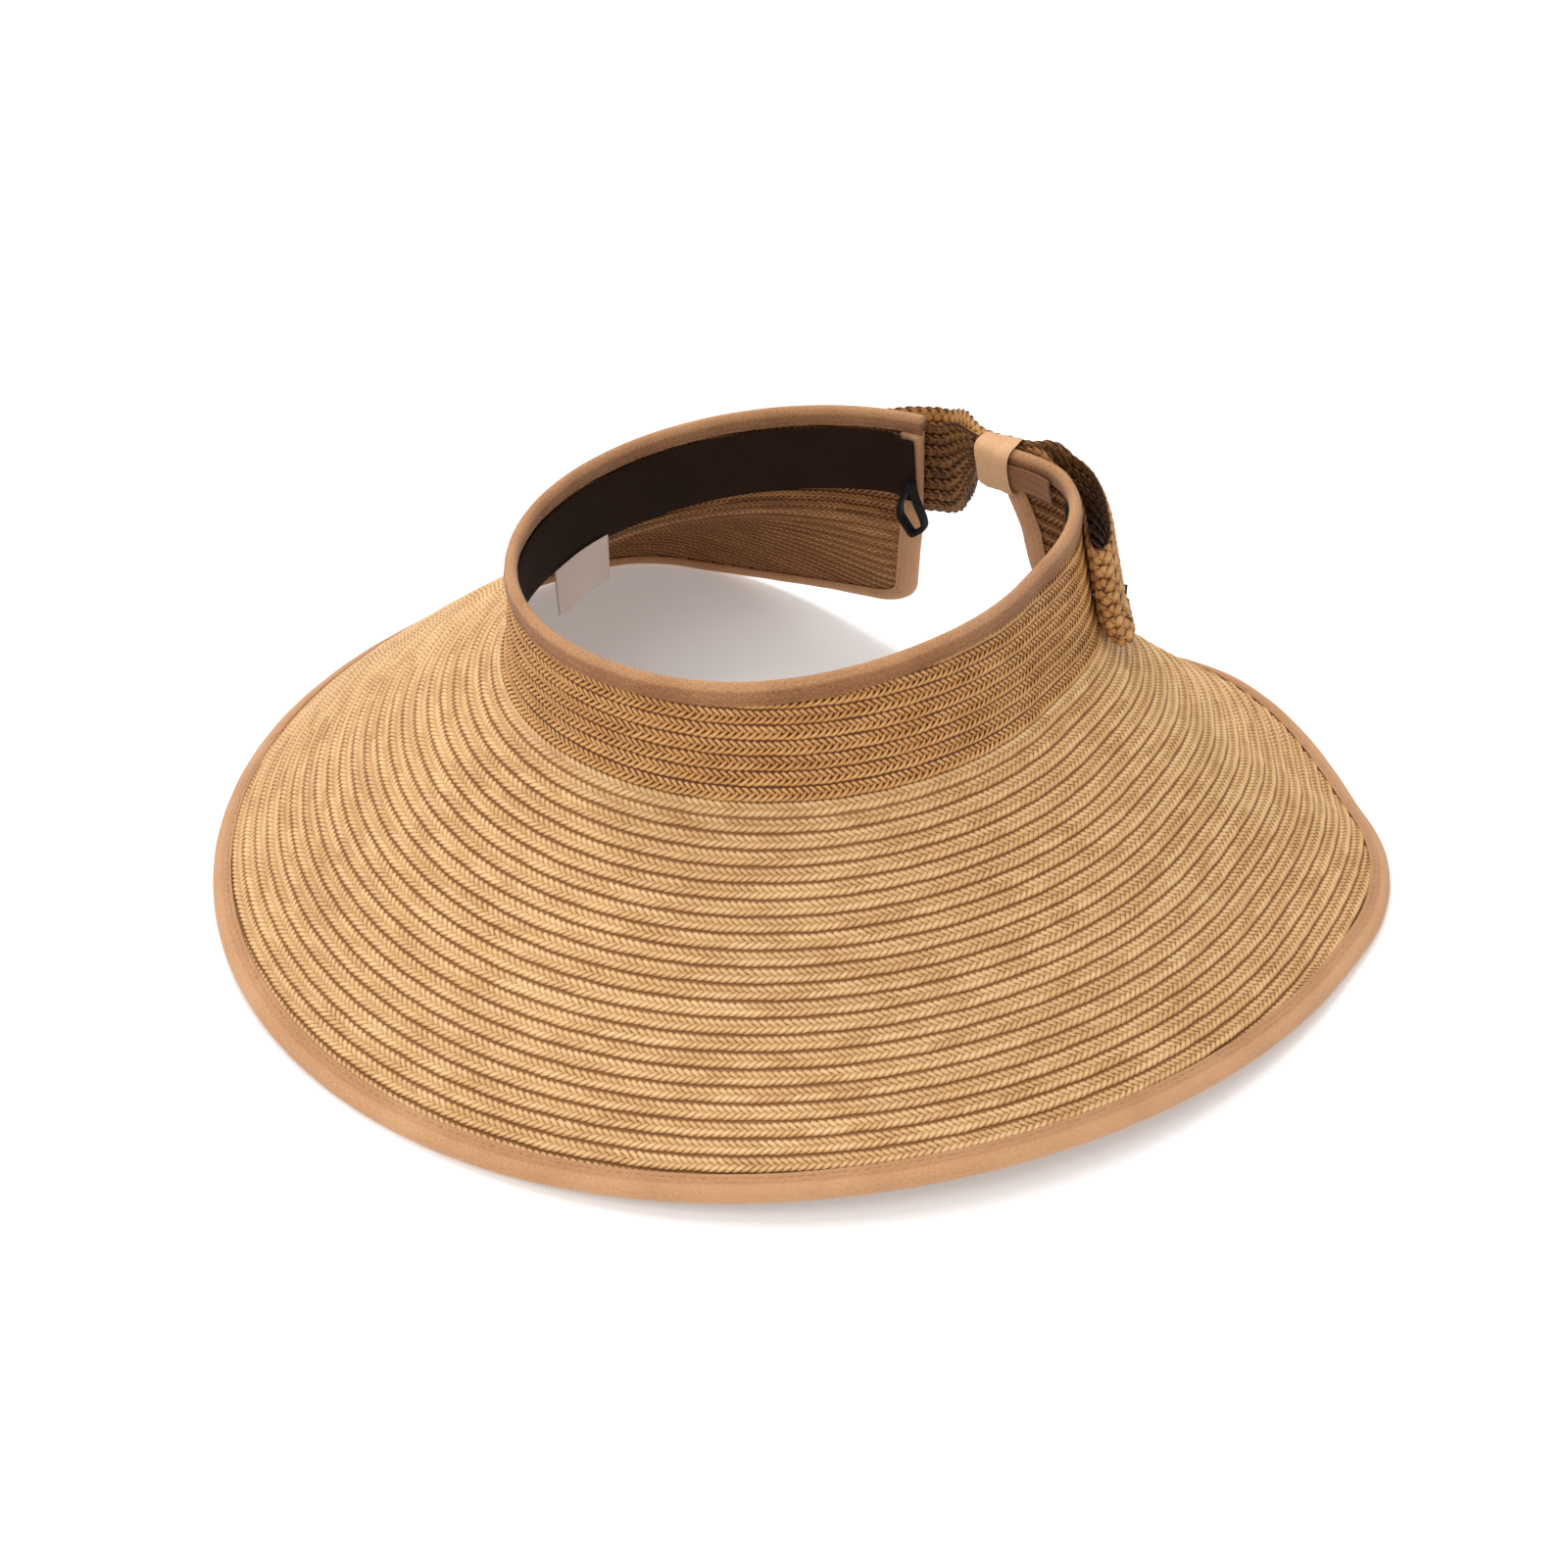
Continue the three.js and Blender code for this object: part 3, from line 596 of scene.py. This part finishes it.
def body_lap(top, bottom, columns, rows, painted_shade):
    """The laps between two drops, each given at any angle, stopping under the tapes."""
    u = np.linspace(0, 1, columns)[:, None]
    w = np.linspace(0, 1, rows)[None]
    angle = RIGHT_END[1] + (LEFT_END[1] - RIGHT_END[1]) * u + 0 * w
    for _ in range(4):
        drop = top(angle) + (bottom(angle) - top(angle)) * w
        angle = end_angle(RIGHT_END, drop, LAP.border) * (1 - u) + end_angle(LEFT_END, drop, LAP.border) * u
    return lap(on_surface(angle, drop), normal_at(angle, drop), painted_shade)


def straw_piece(name, material, plait, spans, lapped, squeeze=None):
    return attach(braid(name, material, plait, body_surface, spans, 0.3, lapped, squeeze), "shell")


def straw_crown():
    """Ten rows, counted up from the brim seam, five to a piece."""
    laps = body_lap(top_lap_drop, seam_drop, 420, 12, LAP.crown_painted_shade), NO_LAP
    return [straw_piece(f"crown_braid_{n + 1}", CROWN_STRAW, CROWN_PLAIT,
                        spans_of(range(5 * n, 5 * n + 5), -1), laps[n], crown_squeeze)
            for n in range(2)]


def straw_brim():
    """Up to 28 rows, counted out from the brim seam: two to a piece, and the outermost in one piece."""
    brim_lap = body_lap(seam_drop, edge_lap_drop, 480, 26, LAP.brim_painted_shade)
    groups = [range(first, first + 2) for first in range(0, 22, 2)] + [range(22, 28)]
    return [straw_piece(f"brim_braid_{n + 1}", STRAW, BRIM_PLAIT, spans_of(rows, 1),
                        NO_LAP if n else brim_lap)
            for n, rows in enumerate(groups)]


crown = straw_crown()
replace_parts(crown[0], "crown_band")
brim = straw_brim()
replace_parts(brim[0], "brim_panel")


# ---- Tapes ----

def sweep(path_of, outline, floor=None):
    """Rings of an outline swept along a path. A point inside the path lies on the straw."""
    base = path_of(0)
    point, normal = on_surface(*base), normal_at(*base)
    out_way = unit(np.cross(unit(np.gradient(point, axis=0)), normal))
    rows = []
    for out, height in outline:
        height = np.broadcast_to(height, base[0].shape)
        if out < 0:
            rows.append(at(*path_of(-out), height))
        else:
            rows.append(point + out_way * out + normal * height[:, None])
    rings = np.stack(rows, axis=1)
    if floor is not None:
        rings[..., 2] = np.maximum(rings[..., 2], floor)
    return rings


def stitches(name, path, height, seam, material, side):
    """Short raised stitches along a path on the straw, at a height over it."""
    points = at(*path, height)
    normals = normal_at(*path) * side
    distance = arc(points)
    centres = np.arange(seam.pitch, distance[-1] - seam.pitch, seam.pitch)
    centres = centres + rng.uniform(-0.12, 0.12, len(centres)) * seam.pitch
    pick = lambda values, s: np.stack([np.interp(s, distance, values[:, i]) for i in range(3)], axis=-1)
    place, normal = pick(points, centres), unit(pick(normals, centres))
    along = unit(pick(points, centres + 0.5) - pick(points, centres - 0.5))
    across = np.cross(along, normal)
    reach = np.array([-0.5, -0.36, 0, 0.36, 0.5]) * seam.length
    swell = np.array([0.35, 0.85, 1, 0.85, 0.35])
    dip = np.array([-0.25, 0, 0.06, 0, -0.25])
    turns = np.radians(np.arange(0, 360, 60))
    spine = (place[:, None] + along[:, None] * reach[:, None] + normal[:, None] * dip[:, None])
    rings = (spine[:, :, None]
             + across[:, None, None] * (np.cos(turns) * swell[:, None] * 0.3)[None, ..., None]
             + normal[:, None, None] * (np.sin(turns) * swell[:, None] * 0.24)[None, ..., None])
    weave = np.stack(np.broadcast_arrays(
        reach[None, :, None], turns[None, None], 0.3 * rng.random(len(centres))[:, None, None]), axis=-1)
    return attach(loft(name, rings, material, weave), "shell")


def mirrored(upper):
    return upper + [(out, -np.asarray(height)) for out, height in reversed(upper)]


def edge_outline(s):
    """The brim tape's section: a flat hem with a sewn groove, and a round bead outside it."""
    pucker = 0.1 * ripple(s, (6.5, 9.7, 14, 23), 3) + 0.06 * np.cos(TURN * s / 3.1)
    swell = 1 + 0.03 * ripple(s, (19, 41, 77), 4)
    bead = [(2.5 * np.cos(a), 2.5 * np.sin(a) * swell) for a in np.radians([112, 92, 72, 54, 36, 18, 4])]
    bead = [(max(out, 0), height) if out > -0.9 else (out, height) for out, height in bead]
    return mirrored([
        (-2.2, 1.0), (-EDGE_TAPE_WIDTH + 0.1, 0.7), (-EDGE_TAPE_WIDTH - 0.15, 1.0 + pucker / 2),
        (-EDGE_TAPE_WIDTH + 0.15, 1.4 + pucker), (-4.9, 1.6 + pucker), (-4.4, 1.42 + pucker / 2),
        (-3.9, 1.8 + pucker), (-3.3, 1.85 + pucker), (-2.85, 1.75 + pucker / 2), (-2.45, 1.7),
        (-1.9, 2.05)] + bead)


def edge_binding():
    """The tape over the brim's edge and both ends, and the boning that it closes in."""
    s = arc(on_surface(*edge_path(BEAD_INSET)))
    outline = edge_outline(s)
    rings = sweep(lambda back: edge_path(BEAD_INSET + back), outline, floor=0.0)
    # Painted highlight: the round bead is painted paler than the flat hem.
    pale = np.array([0.1 * (out > -2.2) - 0.02 for out, _ in outline])
    edge_tape = loft("edge_binding", rings, TAPE, cloth_weave(rings, pale))
    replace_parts(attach(edge_tape, "shell"), "brim_edge_tape")
    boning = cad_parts["brim_wire"]
    boning.data.materials.clear()
    boning.data.materials.append(BONING)
    path = edge_path(BEAD_INSET + EDGE_SEAM.inset)
    edge_stitches = [
        stitches(f"edge_stitches_{name}", path, side * EDGE_SEAM.height, EDGE_SEAM, THREAD, side)
        for name, side in (("top", 1), ("under", -1))]


def crown_path(back):
    """Along the top edge from the left end to the right, as angles and drops."""
    drop = np.full(620, 0.5 + back)
    first, last = end_angle(LEFT_END, drop[:1], 0.4)[0], end_angle(RIGHT_END, drop[:1], 0.4)[0]
    return np.linspace(first, last, len(drop)), drop


def top_outline(s):
    """The crown tape's section, with a sewn groove near its lower edge."""
    crease = 0.1 * ripple(s, (7.3, 11, 17, 29), 5) + 0.05 * np.cos(TURN * s / 3.0)
    return mirrored([
        (-2.0, 1.15), (-TOP_TAPE_DROP + 0.1, 0.9), (-TOP_TAPE_DROP - 0.15, 1.1 + crease / 2),
        (-TOP_TAPE_DROP + 0.15, 1.5 + crease), (-6.2, 1.75 + crease), (-5.6, 1.4 + crease / 2),
        (-5.0, 1.95 + crease), (-3.8, 2.15 + crease), (-2.4, 2.1), (-1.2, 1.85), (-0.4, 1.45),
        (0.1, 0.95), (0.35, 0.35)])


def crown_binding():
    """The tape over the crown's top edge."""
    s = arc(on_surface(*crown_path(0)))
    outline = top_outline(s)
    rings = sweep(crown_path, outline)
    # Painted highlight and shade: the rim over the top edge is painted paler, the rest of the tape darker.
    pale = np.array([0.2 * (out > -1.5) - 0.14 for out, _ in outline])
    top_tape = loft("crown_binding", rings, TOP_TAPE, cloth_weave(rings, pale))
    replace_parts(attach(top_tape, "shell"), "crown_top_tape")
    path = crown_path(TOP_SEAM.inset)
    top_stitches = [
        stitches(f"crown_stitches_{name}", path, side * TOP_SEAM.height, TOP_SEAM, CROWN_THREAD, side)
        for name, side in (("outside", 1), ("inside", -1))]


edge_binding()
crown_binding()


# ---- Inside the crown ----

def inner_band():
    """The sweatband, which steps inwards off the right end's tape and bellies a little."""
    top = np.array(SWEATBAND.top)
    end = end_angle(RIGHT_END, top, 2.5)
    flange = end_angle(RIGHT_END, top, EDGE_TAPE_WIDTH + BEAD_INSET + 4)
    angle = np.linspace(end, SWEATBAND.left, 420)
    drop = np.linspace(SWEATBAND.top, SWEATBAND.bottom, 22)
    s = arc(on_surface(angle, SWEATBAND.top))
    stepped = SWEATBAND.step * smooth(flange, (end + flange) / 2, angle)
    belly = np.sin(np.pi * np.linspace(0, 1, 22)) * (0.25 + 0.2 * ripple(s, (38, 61, 97), 8))[:, None]
    groove = 0.3 * np.exp(-((drop - SWEATBAND.top - BAND_SEAM.inset) / 0.5) ** 2)
    height = SWEATBAND.height - SWEATBAND.thickness / 2 - stepped[:, None] - belly + groove
    grid = np.meshgrid(angle, drop, indexing="ij")
    rings = slab(at(*grid, height), normal_at(*grid), SWEATBAND.thickness)
    sweatband = loft("sweatband_cloth", rings, DARK_CLOTH, cloth_weave(rings))
    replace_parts(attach(sweatband, "shell"), "sweatband")
    line = (angle[6:], np.full(len(angle) - 6, SWEATBAND.top + BAND_SEAM.inset))
    band_stitches = stitches(
        "sweatband_stitches", line, height[6:, 2] + BAND_SEAM.height, BAND_SEAM, DARK_THREAD, -1)
    return sweatband


def hanging_label():
    """The small label, sewn in at its top edge and curling away from the crown below."""
    angle = np.linspace(LABEL.start, LABEL.stop, 30)
    drop = np.full(30, LABEL.top)
    top = at(angle, drop, LABEL.height - 0.2)
    inward = unit(-normal_at(angle, drop) * [1, 1, 0])
    down = np.linspace(0, LABEL.length, 24)
    curl = 1.3 * (down / LABEL.length) ** 2 * (0.4 + 0.6 * np.cos(np.linspace(-1, 2.2, 30)))[:, None]
    middle = top[:, None] + inward[:, None] * curl[..., None]
    middle[..., 2] -= down
    rings = slab(middle, inward[:, None].repeat(24, axis=1), 0.4)
    label = loft("label_satin", rings, SATIN, cloth_weave(rings))
    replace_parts(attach(label, "label"), "care_label")


def elastic_rings():
    """A flat elastic folded into a loop with an angular foot, hanging edge on to the crown."""
    top = at(ELASTIC.angle, np.array(float(ELASTIC.drop)), ELASTIC.height)
    out_of_crown = unit(normal_at(ELASTIC.angle, np.array(float(ELASTIC.drop))) * [1, 1, 0])
    side = np.array([out_of_crown[1], -out_of_crown[0], 0])
    knees = np.array([(1.8, -6.5), (0.8, -3), (-1.8, 3.4), (-1.6, 7.4), (3.4, 14.2), (7.9, 10.6), (7.2, 7.4),
                      (4.0, 0.4), (2.7, -4)])
    spaced = arc(np.concatenate([knees, knees[:1]]))
    s = np.linspace(0, spaced[-1], 145)[:-1]
    line = np.stack([np.interp(s, spaced, np.append(knees[:, i], knees[0, i])) for i in range(2)], axis=-1)
    for _ in range(14):
        line = (np.roll(line, 1, axis=0) + 2 * line + np.roll(line, -1, axis=0)) / 4
    spine = top + side * line[:, :1] - np.array([0, 0, 1]) * line[:, 1:]
    along = unit(np.roll(spine, -1, axis=0) - np.roll(spine, 1, axis=0))
    face = np.cross(along, out_of_crown)
    across = np.linspace(-ELASTIC.band / 2, ELASTIC.band / 2, 21)
    ribs = 0.09 * np.cos(TURN * across / 0.9)
    middle = spine[:, None] + out_of_crown * across[:, None] + face[:, None] * ribs[:, None]
    return slab(middle, face[:, None].repeat(21, axis=1), 1.5, squareness=6)


def hanging_elastic():
    rings = elastic_rings()
    elastic = loft("elastic_band", rings, RUBBER, cloth_weave(rings), loop=True)
    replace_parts(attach(elastic, "hanging_loop"), "elastic_loop")


sweatband = inner_band()
hanging_label()
hanging_elastic()


# ---- Bow ----

def band_height_at(angle):
    return BAND.right + (BAND.left - BAND.right) * smooth(BAND.start, BAND.stop, angle)


def wing_surface(wing):
    """The bow's band as a surface over q from 0 to 1, out to the tip and back, and v across it."""
    radius = (wing.outer - wing.inner) / 2
    way = np.sign(wing.tip - wing.root)
    turn_back = wing.tip - way * radius / 1.5
    held = wing.root - way * WING_ROOT.held
    t = np.linspace(0, 1, 80)
    fold_s, fold_c = sincos(np.linspace(-82, 82, 24))
    root = band_height_at(wing.root)
    layer = lambda start, stop: start + (stop - start) * smooth(0, 0.4, t)
    angle = np.concatenate([[held], wing.root + (turn_back - wing.root) * t,
                            wing.tip - way * radius / 1.5 * (1 - fold_c),
                            (wing.root + (turn_back - wing.root) * t)[::-1], [held]])
    height = np.concatenate([[band_height_at(held) - 1], layer(root - 1, wing.inner),
                             (wing.inner + wing.outer) / 2 + radius * fold_s,
                             layer(root + 1, wing.outer)[::-1], [band_height_at(held) + 1]])
    share = np.concatenate([[0], t, np.ones(len(fold_s)), t[::-1], [0]])
    line = arc(at(angle, np.full(len(angle), 20.0), height))
    fold = line[len(line) // 2]
    dip = share * wing.dip * (0.5 - np.minimum(1, np.sqrt(((line - fold) / 9) ** 2 + 0.02)))
    line = line / line[-1]

    def look_up(q):
        return (np.interp(q, line, values) for values in (angle, height, share, dip))

    def half_width(t):
        return WING_ROOT.half + (wing.half - WING_ROOT.half) * smooth(0, 0.28, t)

    def surface(q, v):
        a, h, t, low = look_up(q)
        drop = WING_ROOT.drop + (wing.drop - WING_ROOT.drop) * smooth(0, 0.35, t) + wing.sag * t * t
        pleat = 0.8 * (1 - smooth(0, 0.5, t)) * np.sin(7.1 * v + 3 * q)
        return at(a, drop + low + v * half_width(t), h + pleat)

    def squeeze(q):
        t = list(look_up(q))[2]
        return np.clip(1.25 * half_width(t) / wing.half, 0.62, 1)

    return surface, squeeze


def bow_wing(name, wing, body, *nodes):
    """One wing: its plaited rows and the lap under them, which take the place of the CAD part's pieces."""
    surface, squeeze = wing_surface(wing)
    rows = [(v, 0.0, 1.0) for v in (np.arange(8) - 3.5) / 4]
    q, v = np.linspace(0, 1, 150)[:, None], np.linspace(-0.98, 0.98, 20)[None]
    middle = surface(q, v)
    normal = unit(np.cross(surface(q, v + 0.02) - surface(q, v - 0.02), np.gradient(middle, axis=0)))
    lapped = lap(middle, normal, LAP.bow_painted_shade)
    made = braid(name, SHADED_BOW_STRAW, BOW_PLAIT, surface, rows, 0.02, lapped, squeeze)
    ends = [Vector(at(a, np.array(9.0), band_height_at(a)) * MM) for a in wing.bends]
    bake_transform(made)
    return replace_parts(made, *nodes)


def knot_rings():
    """A strip of cloth wrapped round the bow's middle, creased the way it is pulled."""
    turn = np.linspace(0, TURN, 121)[:-1]
    c, s = np.cos(turn), np.sin(turn)
    square = (np.abs(c) ** 3.4 + np.abs(s) ** 3.4) ** (-1 / 3.4)
    across = np.linspace(-1, 1, 26)
    angle = (KNOT.start + KNOT.stop) / 2 + (KNOT.stop - KNOT.start) / 2 * across[None] * (
        1 + 0.08 * np.cos(2 * turn)[:, None])
    high = band_height_at(angle) + KNOT.over
    folds = (0.13 * np.sin(5.5 * across[None] + 1.2 * np.sin(turn)[:, None])
             + 0.06 * np.sin(13 * across[None] + 2 * np.cos(2 * turn)[:, None] + 1))
    swollen = 0.3 * np.abs(across[None]) ** 3 + folds - 0.45
    drop = (KNOT.top + KNOT.bottom) / 2 + ((KNOT.bottom - KNOT.top) / 2 + swollen) * (c * square)[:, None]
    height = (high + KNOT.low) / 2 + ((high - KNOT.low) / 2 + swollen) * (s * square)[:, None]
    middle = at(angle, drop, height)
    way = unit(np.cross(np.gradient(middle, axis=0), np.gradient(middle, axis=1)))
    return slab(middle, way, 0.8, squareness=10)


def bow_knot():
    rings = knot_rings()
    wrap_length = arc(rings[:, rings.shape[1] // 4])[-1] * MM
    knot = loft("knot_cloth", rings, LIT_KNOT_TAPE, cloth_weave(rings), loop=True)
    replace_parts(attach(knot, "shell"), "bow_knot")


def bow_tab():
    """The tape inside the crown that joins the bow to the left end."""
    across, along = np.linspace(TAB.start, TAB.stop, 60), np.linspace(TAB.top, TAB.bottom, 16)
    grid = np.meshgrid(across, along, indexing="ij")
    height = TAB.height + 0.12 * np.sin(grid[1] * 1.9 + grid[0] * 0.4)
    rings = slab(at(*grid, height), normal_at(*grid), 0.7)
    tab = loft("tab_cloth", rings, SHADED_TAB_TAPE, cloth_weave(rings))
    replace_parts(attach(tab, "shell"), "bow_tab")
    arc(rings[:, 8])[-1] * MM


def grip_patch(name, body, low, high, side, node_name):
    """Half of a hook-and-loop fastener: a woven square with a pile of small arches on one side."""
    across = np.linspace(PATCH.start, PATCH.stop, 40)
    along = np.linspace(PATCH.top, PATCH.bottom, 34)
    grid = np.meshgrid(across, along, indexing="ij")
    rings = slab(at(*grid, 0 * grid[0] + (low + high) / 2), normal_at(*grid), high - low)
    patch = loft(name, rings, FUZZ, cloth_weave(rings))
    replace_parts(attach(patch, body), node_name)
    roots = np.meshgrid(np.linspace(PATCH.start + 0.5, PATCH.stop - 0.5, 25),
                        np.linspace(PATCH.top + 0.7, PATCH.bottom - 0.7, 24), indexing="ij")
    roots = [values.ravel() + rng.uniform(-1, 1, values.size) * jitter
             for values, jitter in zip(roots, (0.2, 0.3))]
    place = at(*roots, np.full(roots[0].size, high if side > 0 else low))
    normal = normal_at(*roots) * side
    lean = unit(np.cross(normal, rng.normal(size=normal.shape)))
    over = np.cross(lean, normal)
    reach = np.linspace(-1, 1, 7)
    spine = (place[:, None] + lean[:, None] * (0.42 * reach)[:, None]
             + normal[:, None] * (0.34 * (1 - reach ** 2) - 0.08)[:, None])
    turns = np.radians(np.arange(45, 405, 90))
    arches = (spine[:, :, None] + over[:, None, None] * (0.1 * np.cos(turns))[:, None]
              + normal[:, None, None] * (0.1 * np.sin(turns))[:, None])
    pale = 0.5 * rng.random(len(place))
    weave = np.stack(np.broadcast_arrays(
        reach[None, :, None], turns[None, None], pale[:, None, None]), axis=-1)
    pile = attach(loft(f"{name}_pile", arches, FUZZ, weave), body)
    arc(rings[:, 17])[-1] * MM


left_wing = bow_wing("bow_left_straw", LEFT_WING, "left_wing", "bow_left_wing", "bow_core")
bow_wing("bow_right_straw", RIGHT_WING, "right_wing", "bow_right_wing")
bow_knot()
bow_tab()
grip_patch("loop_patch_cloth", "shell", 1.3, 2.25, 1, "loop_patch")
grip_patch("hook_patch_cloth", "left_wing", 2.95, 4.2, -1, "hook_patch")


# ---- Stage ----

def linked(name, data):
    made = bpy.data.objects.new(name, data)
    bpy.context.scene.collection.objects.link(made)
    return made


def pale_floor():
    """A white floor and a round backdrop that curves up from it."""
    material, _, shader = new_material("floor_white", roughness=0.9)
    shader.inputs["Base Color"].default_value = (0.86, 0.86, 0.86, 1)
    shader.inputs["Emission Color"].default_value = (1, 1, 1, 1)
    shader.inputs["Emission Strength"].default_value = 0.25
    corners = 6000 * np.array([(-1, -1, 0), (1, -1, 0), (1, 1, 0), (-1, 1, 0)])
    floor = make_mesh("floor", corners, np.arange(4), material)
    curve = np.radians(np.linspace(0, 90, 12))
    profile = np.array([(4000 + 1500 * np.sin(t), 1500 * (1 - np.cos(t))) for t in curve] + [(5500, 5000)])
    turn = np.linspace(0, TURN, 97)[:-1]
    points = np.stack([profile[:, :1] * np.cos(turn), profile[:, :1] * np.sin(turn),
                       profile[:, 1:] + 0 * turn], axis=-1)
    index = np.arange(len(profile) * len(turn)).reshape(1, len(profile), len(turn))
    make_mesh("backdrop", points, quads(index), material)


def white_world():
    world = bpy.data.worlds.new("studio")
    world.use_nodes = True
    background = world.node_tree.nodes["Background"]
    background.inputs["Color"].default_value = (1, 1, 1, 1)
    background.inputs["Strength"].default_value = 0.32
    bpy.context.scene.world = world


def area_light(name, place, target, size, power):
    data = bpy.data.lights.new(name, "AREA")
    data.size = size
    data.energy = power
    lamp = linked(name, data)
    lamp.location = place
    lamp.rotation_euler = (Vector(target) - Vector(place)).to_track_quat("-Z", "Y").to_euler()


def place_camera():
    """The camera looks back along its azimuth and elevation at a point over the origin."""
    s_az, c_az = sincos(CAMERA.azimuth)
    s_el, c_el = sincos(CAMERA.elevation)
    back = np.array([s_az * c_el, -c_az * c_el, s_el])
    right = np.array([c_az, s_az, 0])
    data = bpy.data.cameras.new("camera")
    data.sensor_width = 36
    data.lens = CAMERA.lens
    data.shift_x, data.shift_y = CAMERA.shift
    data.clip_end = 20
    camera = linked("camera", data)
    location = (np.array([0, 0, CAMERA.focus_height]) + back * CAMERA.distance - ORIGIN) * MM
    axes = np.stack([right, np.cross(back, right), back], axis=1)
    camera.matrix_world = Matrix.Translation(Vector(location)) @ Matrix(axes.tolist()).to_4x4()
    bpy.context.scene.camera = camera


pale_floor()
white_world()
area_light("key", (0.35, -1.0, 1.3), (0, 0, 0.05), 0.9, 8)
area_light("overhead", (-0.15, 0.1, 2.0), (0, 0, 0), 1.0, 14)
area_light("side", (-0.95, 0.25, 1.1), (0, 0, 0.03), 0.3, 6)
place_camera()
bpy.context.scene.view_settings.view_transform = "Standard"
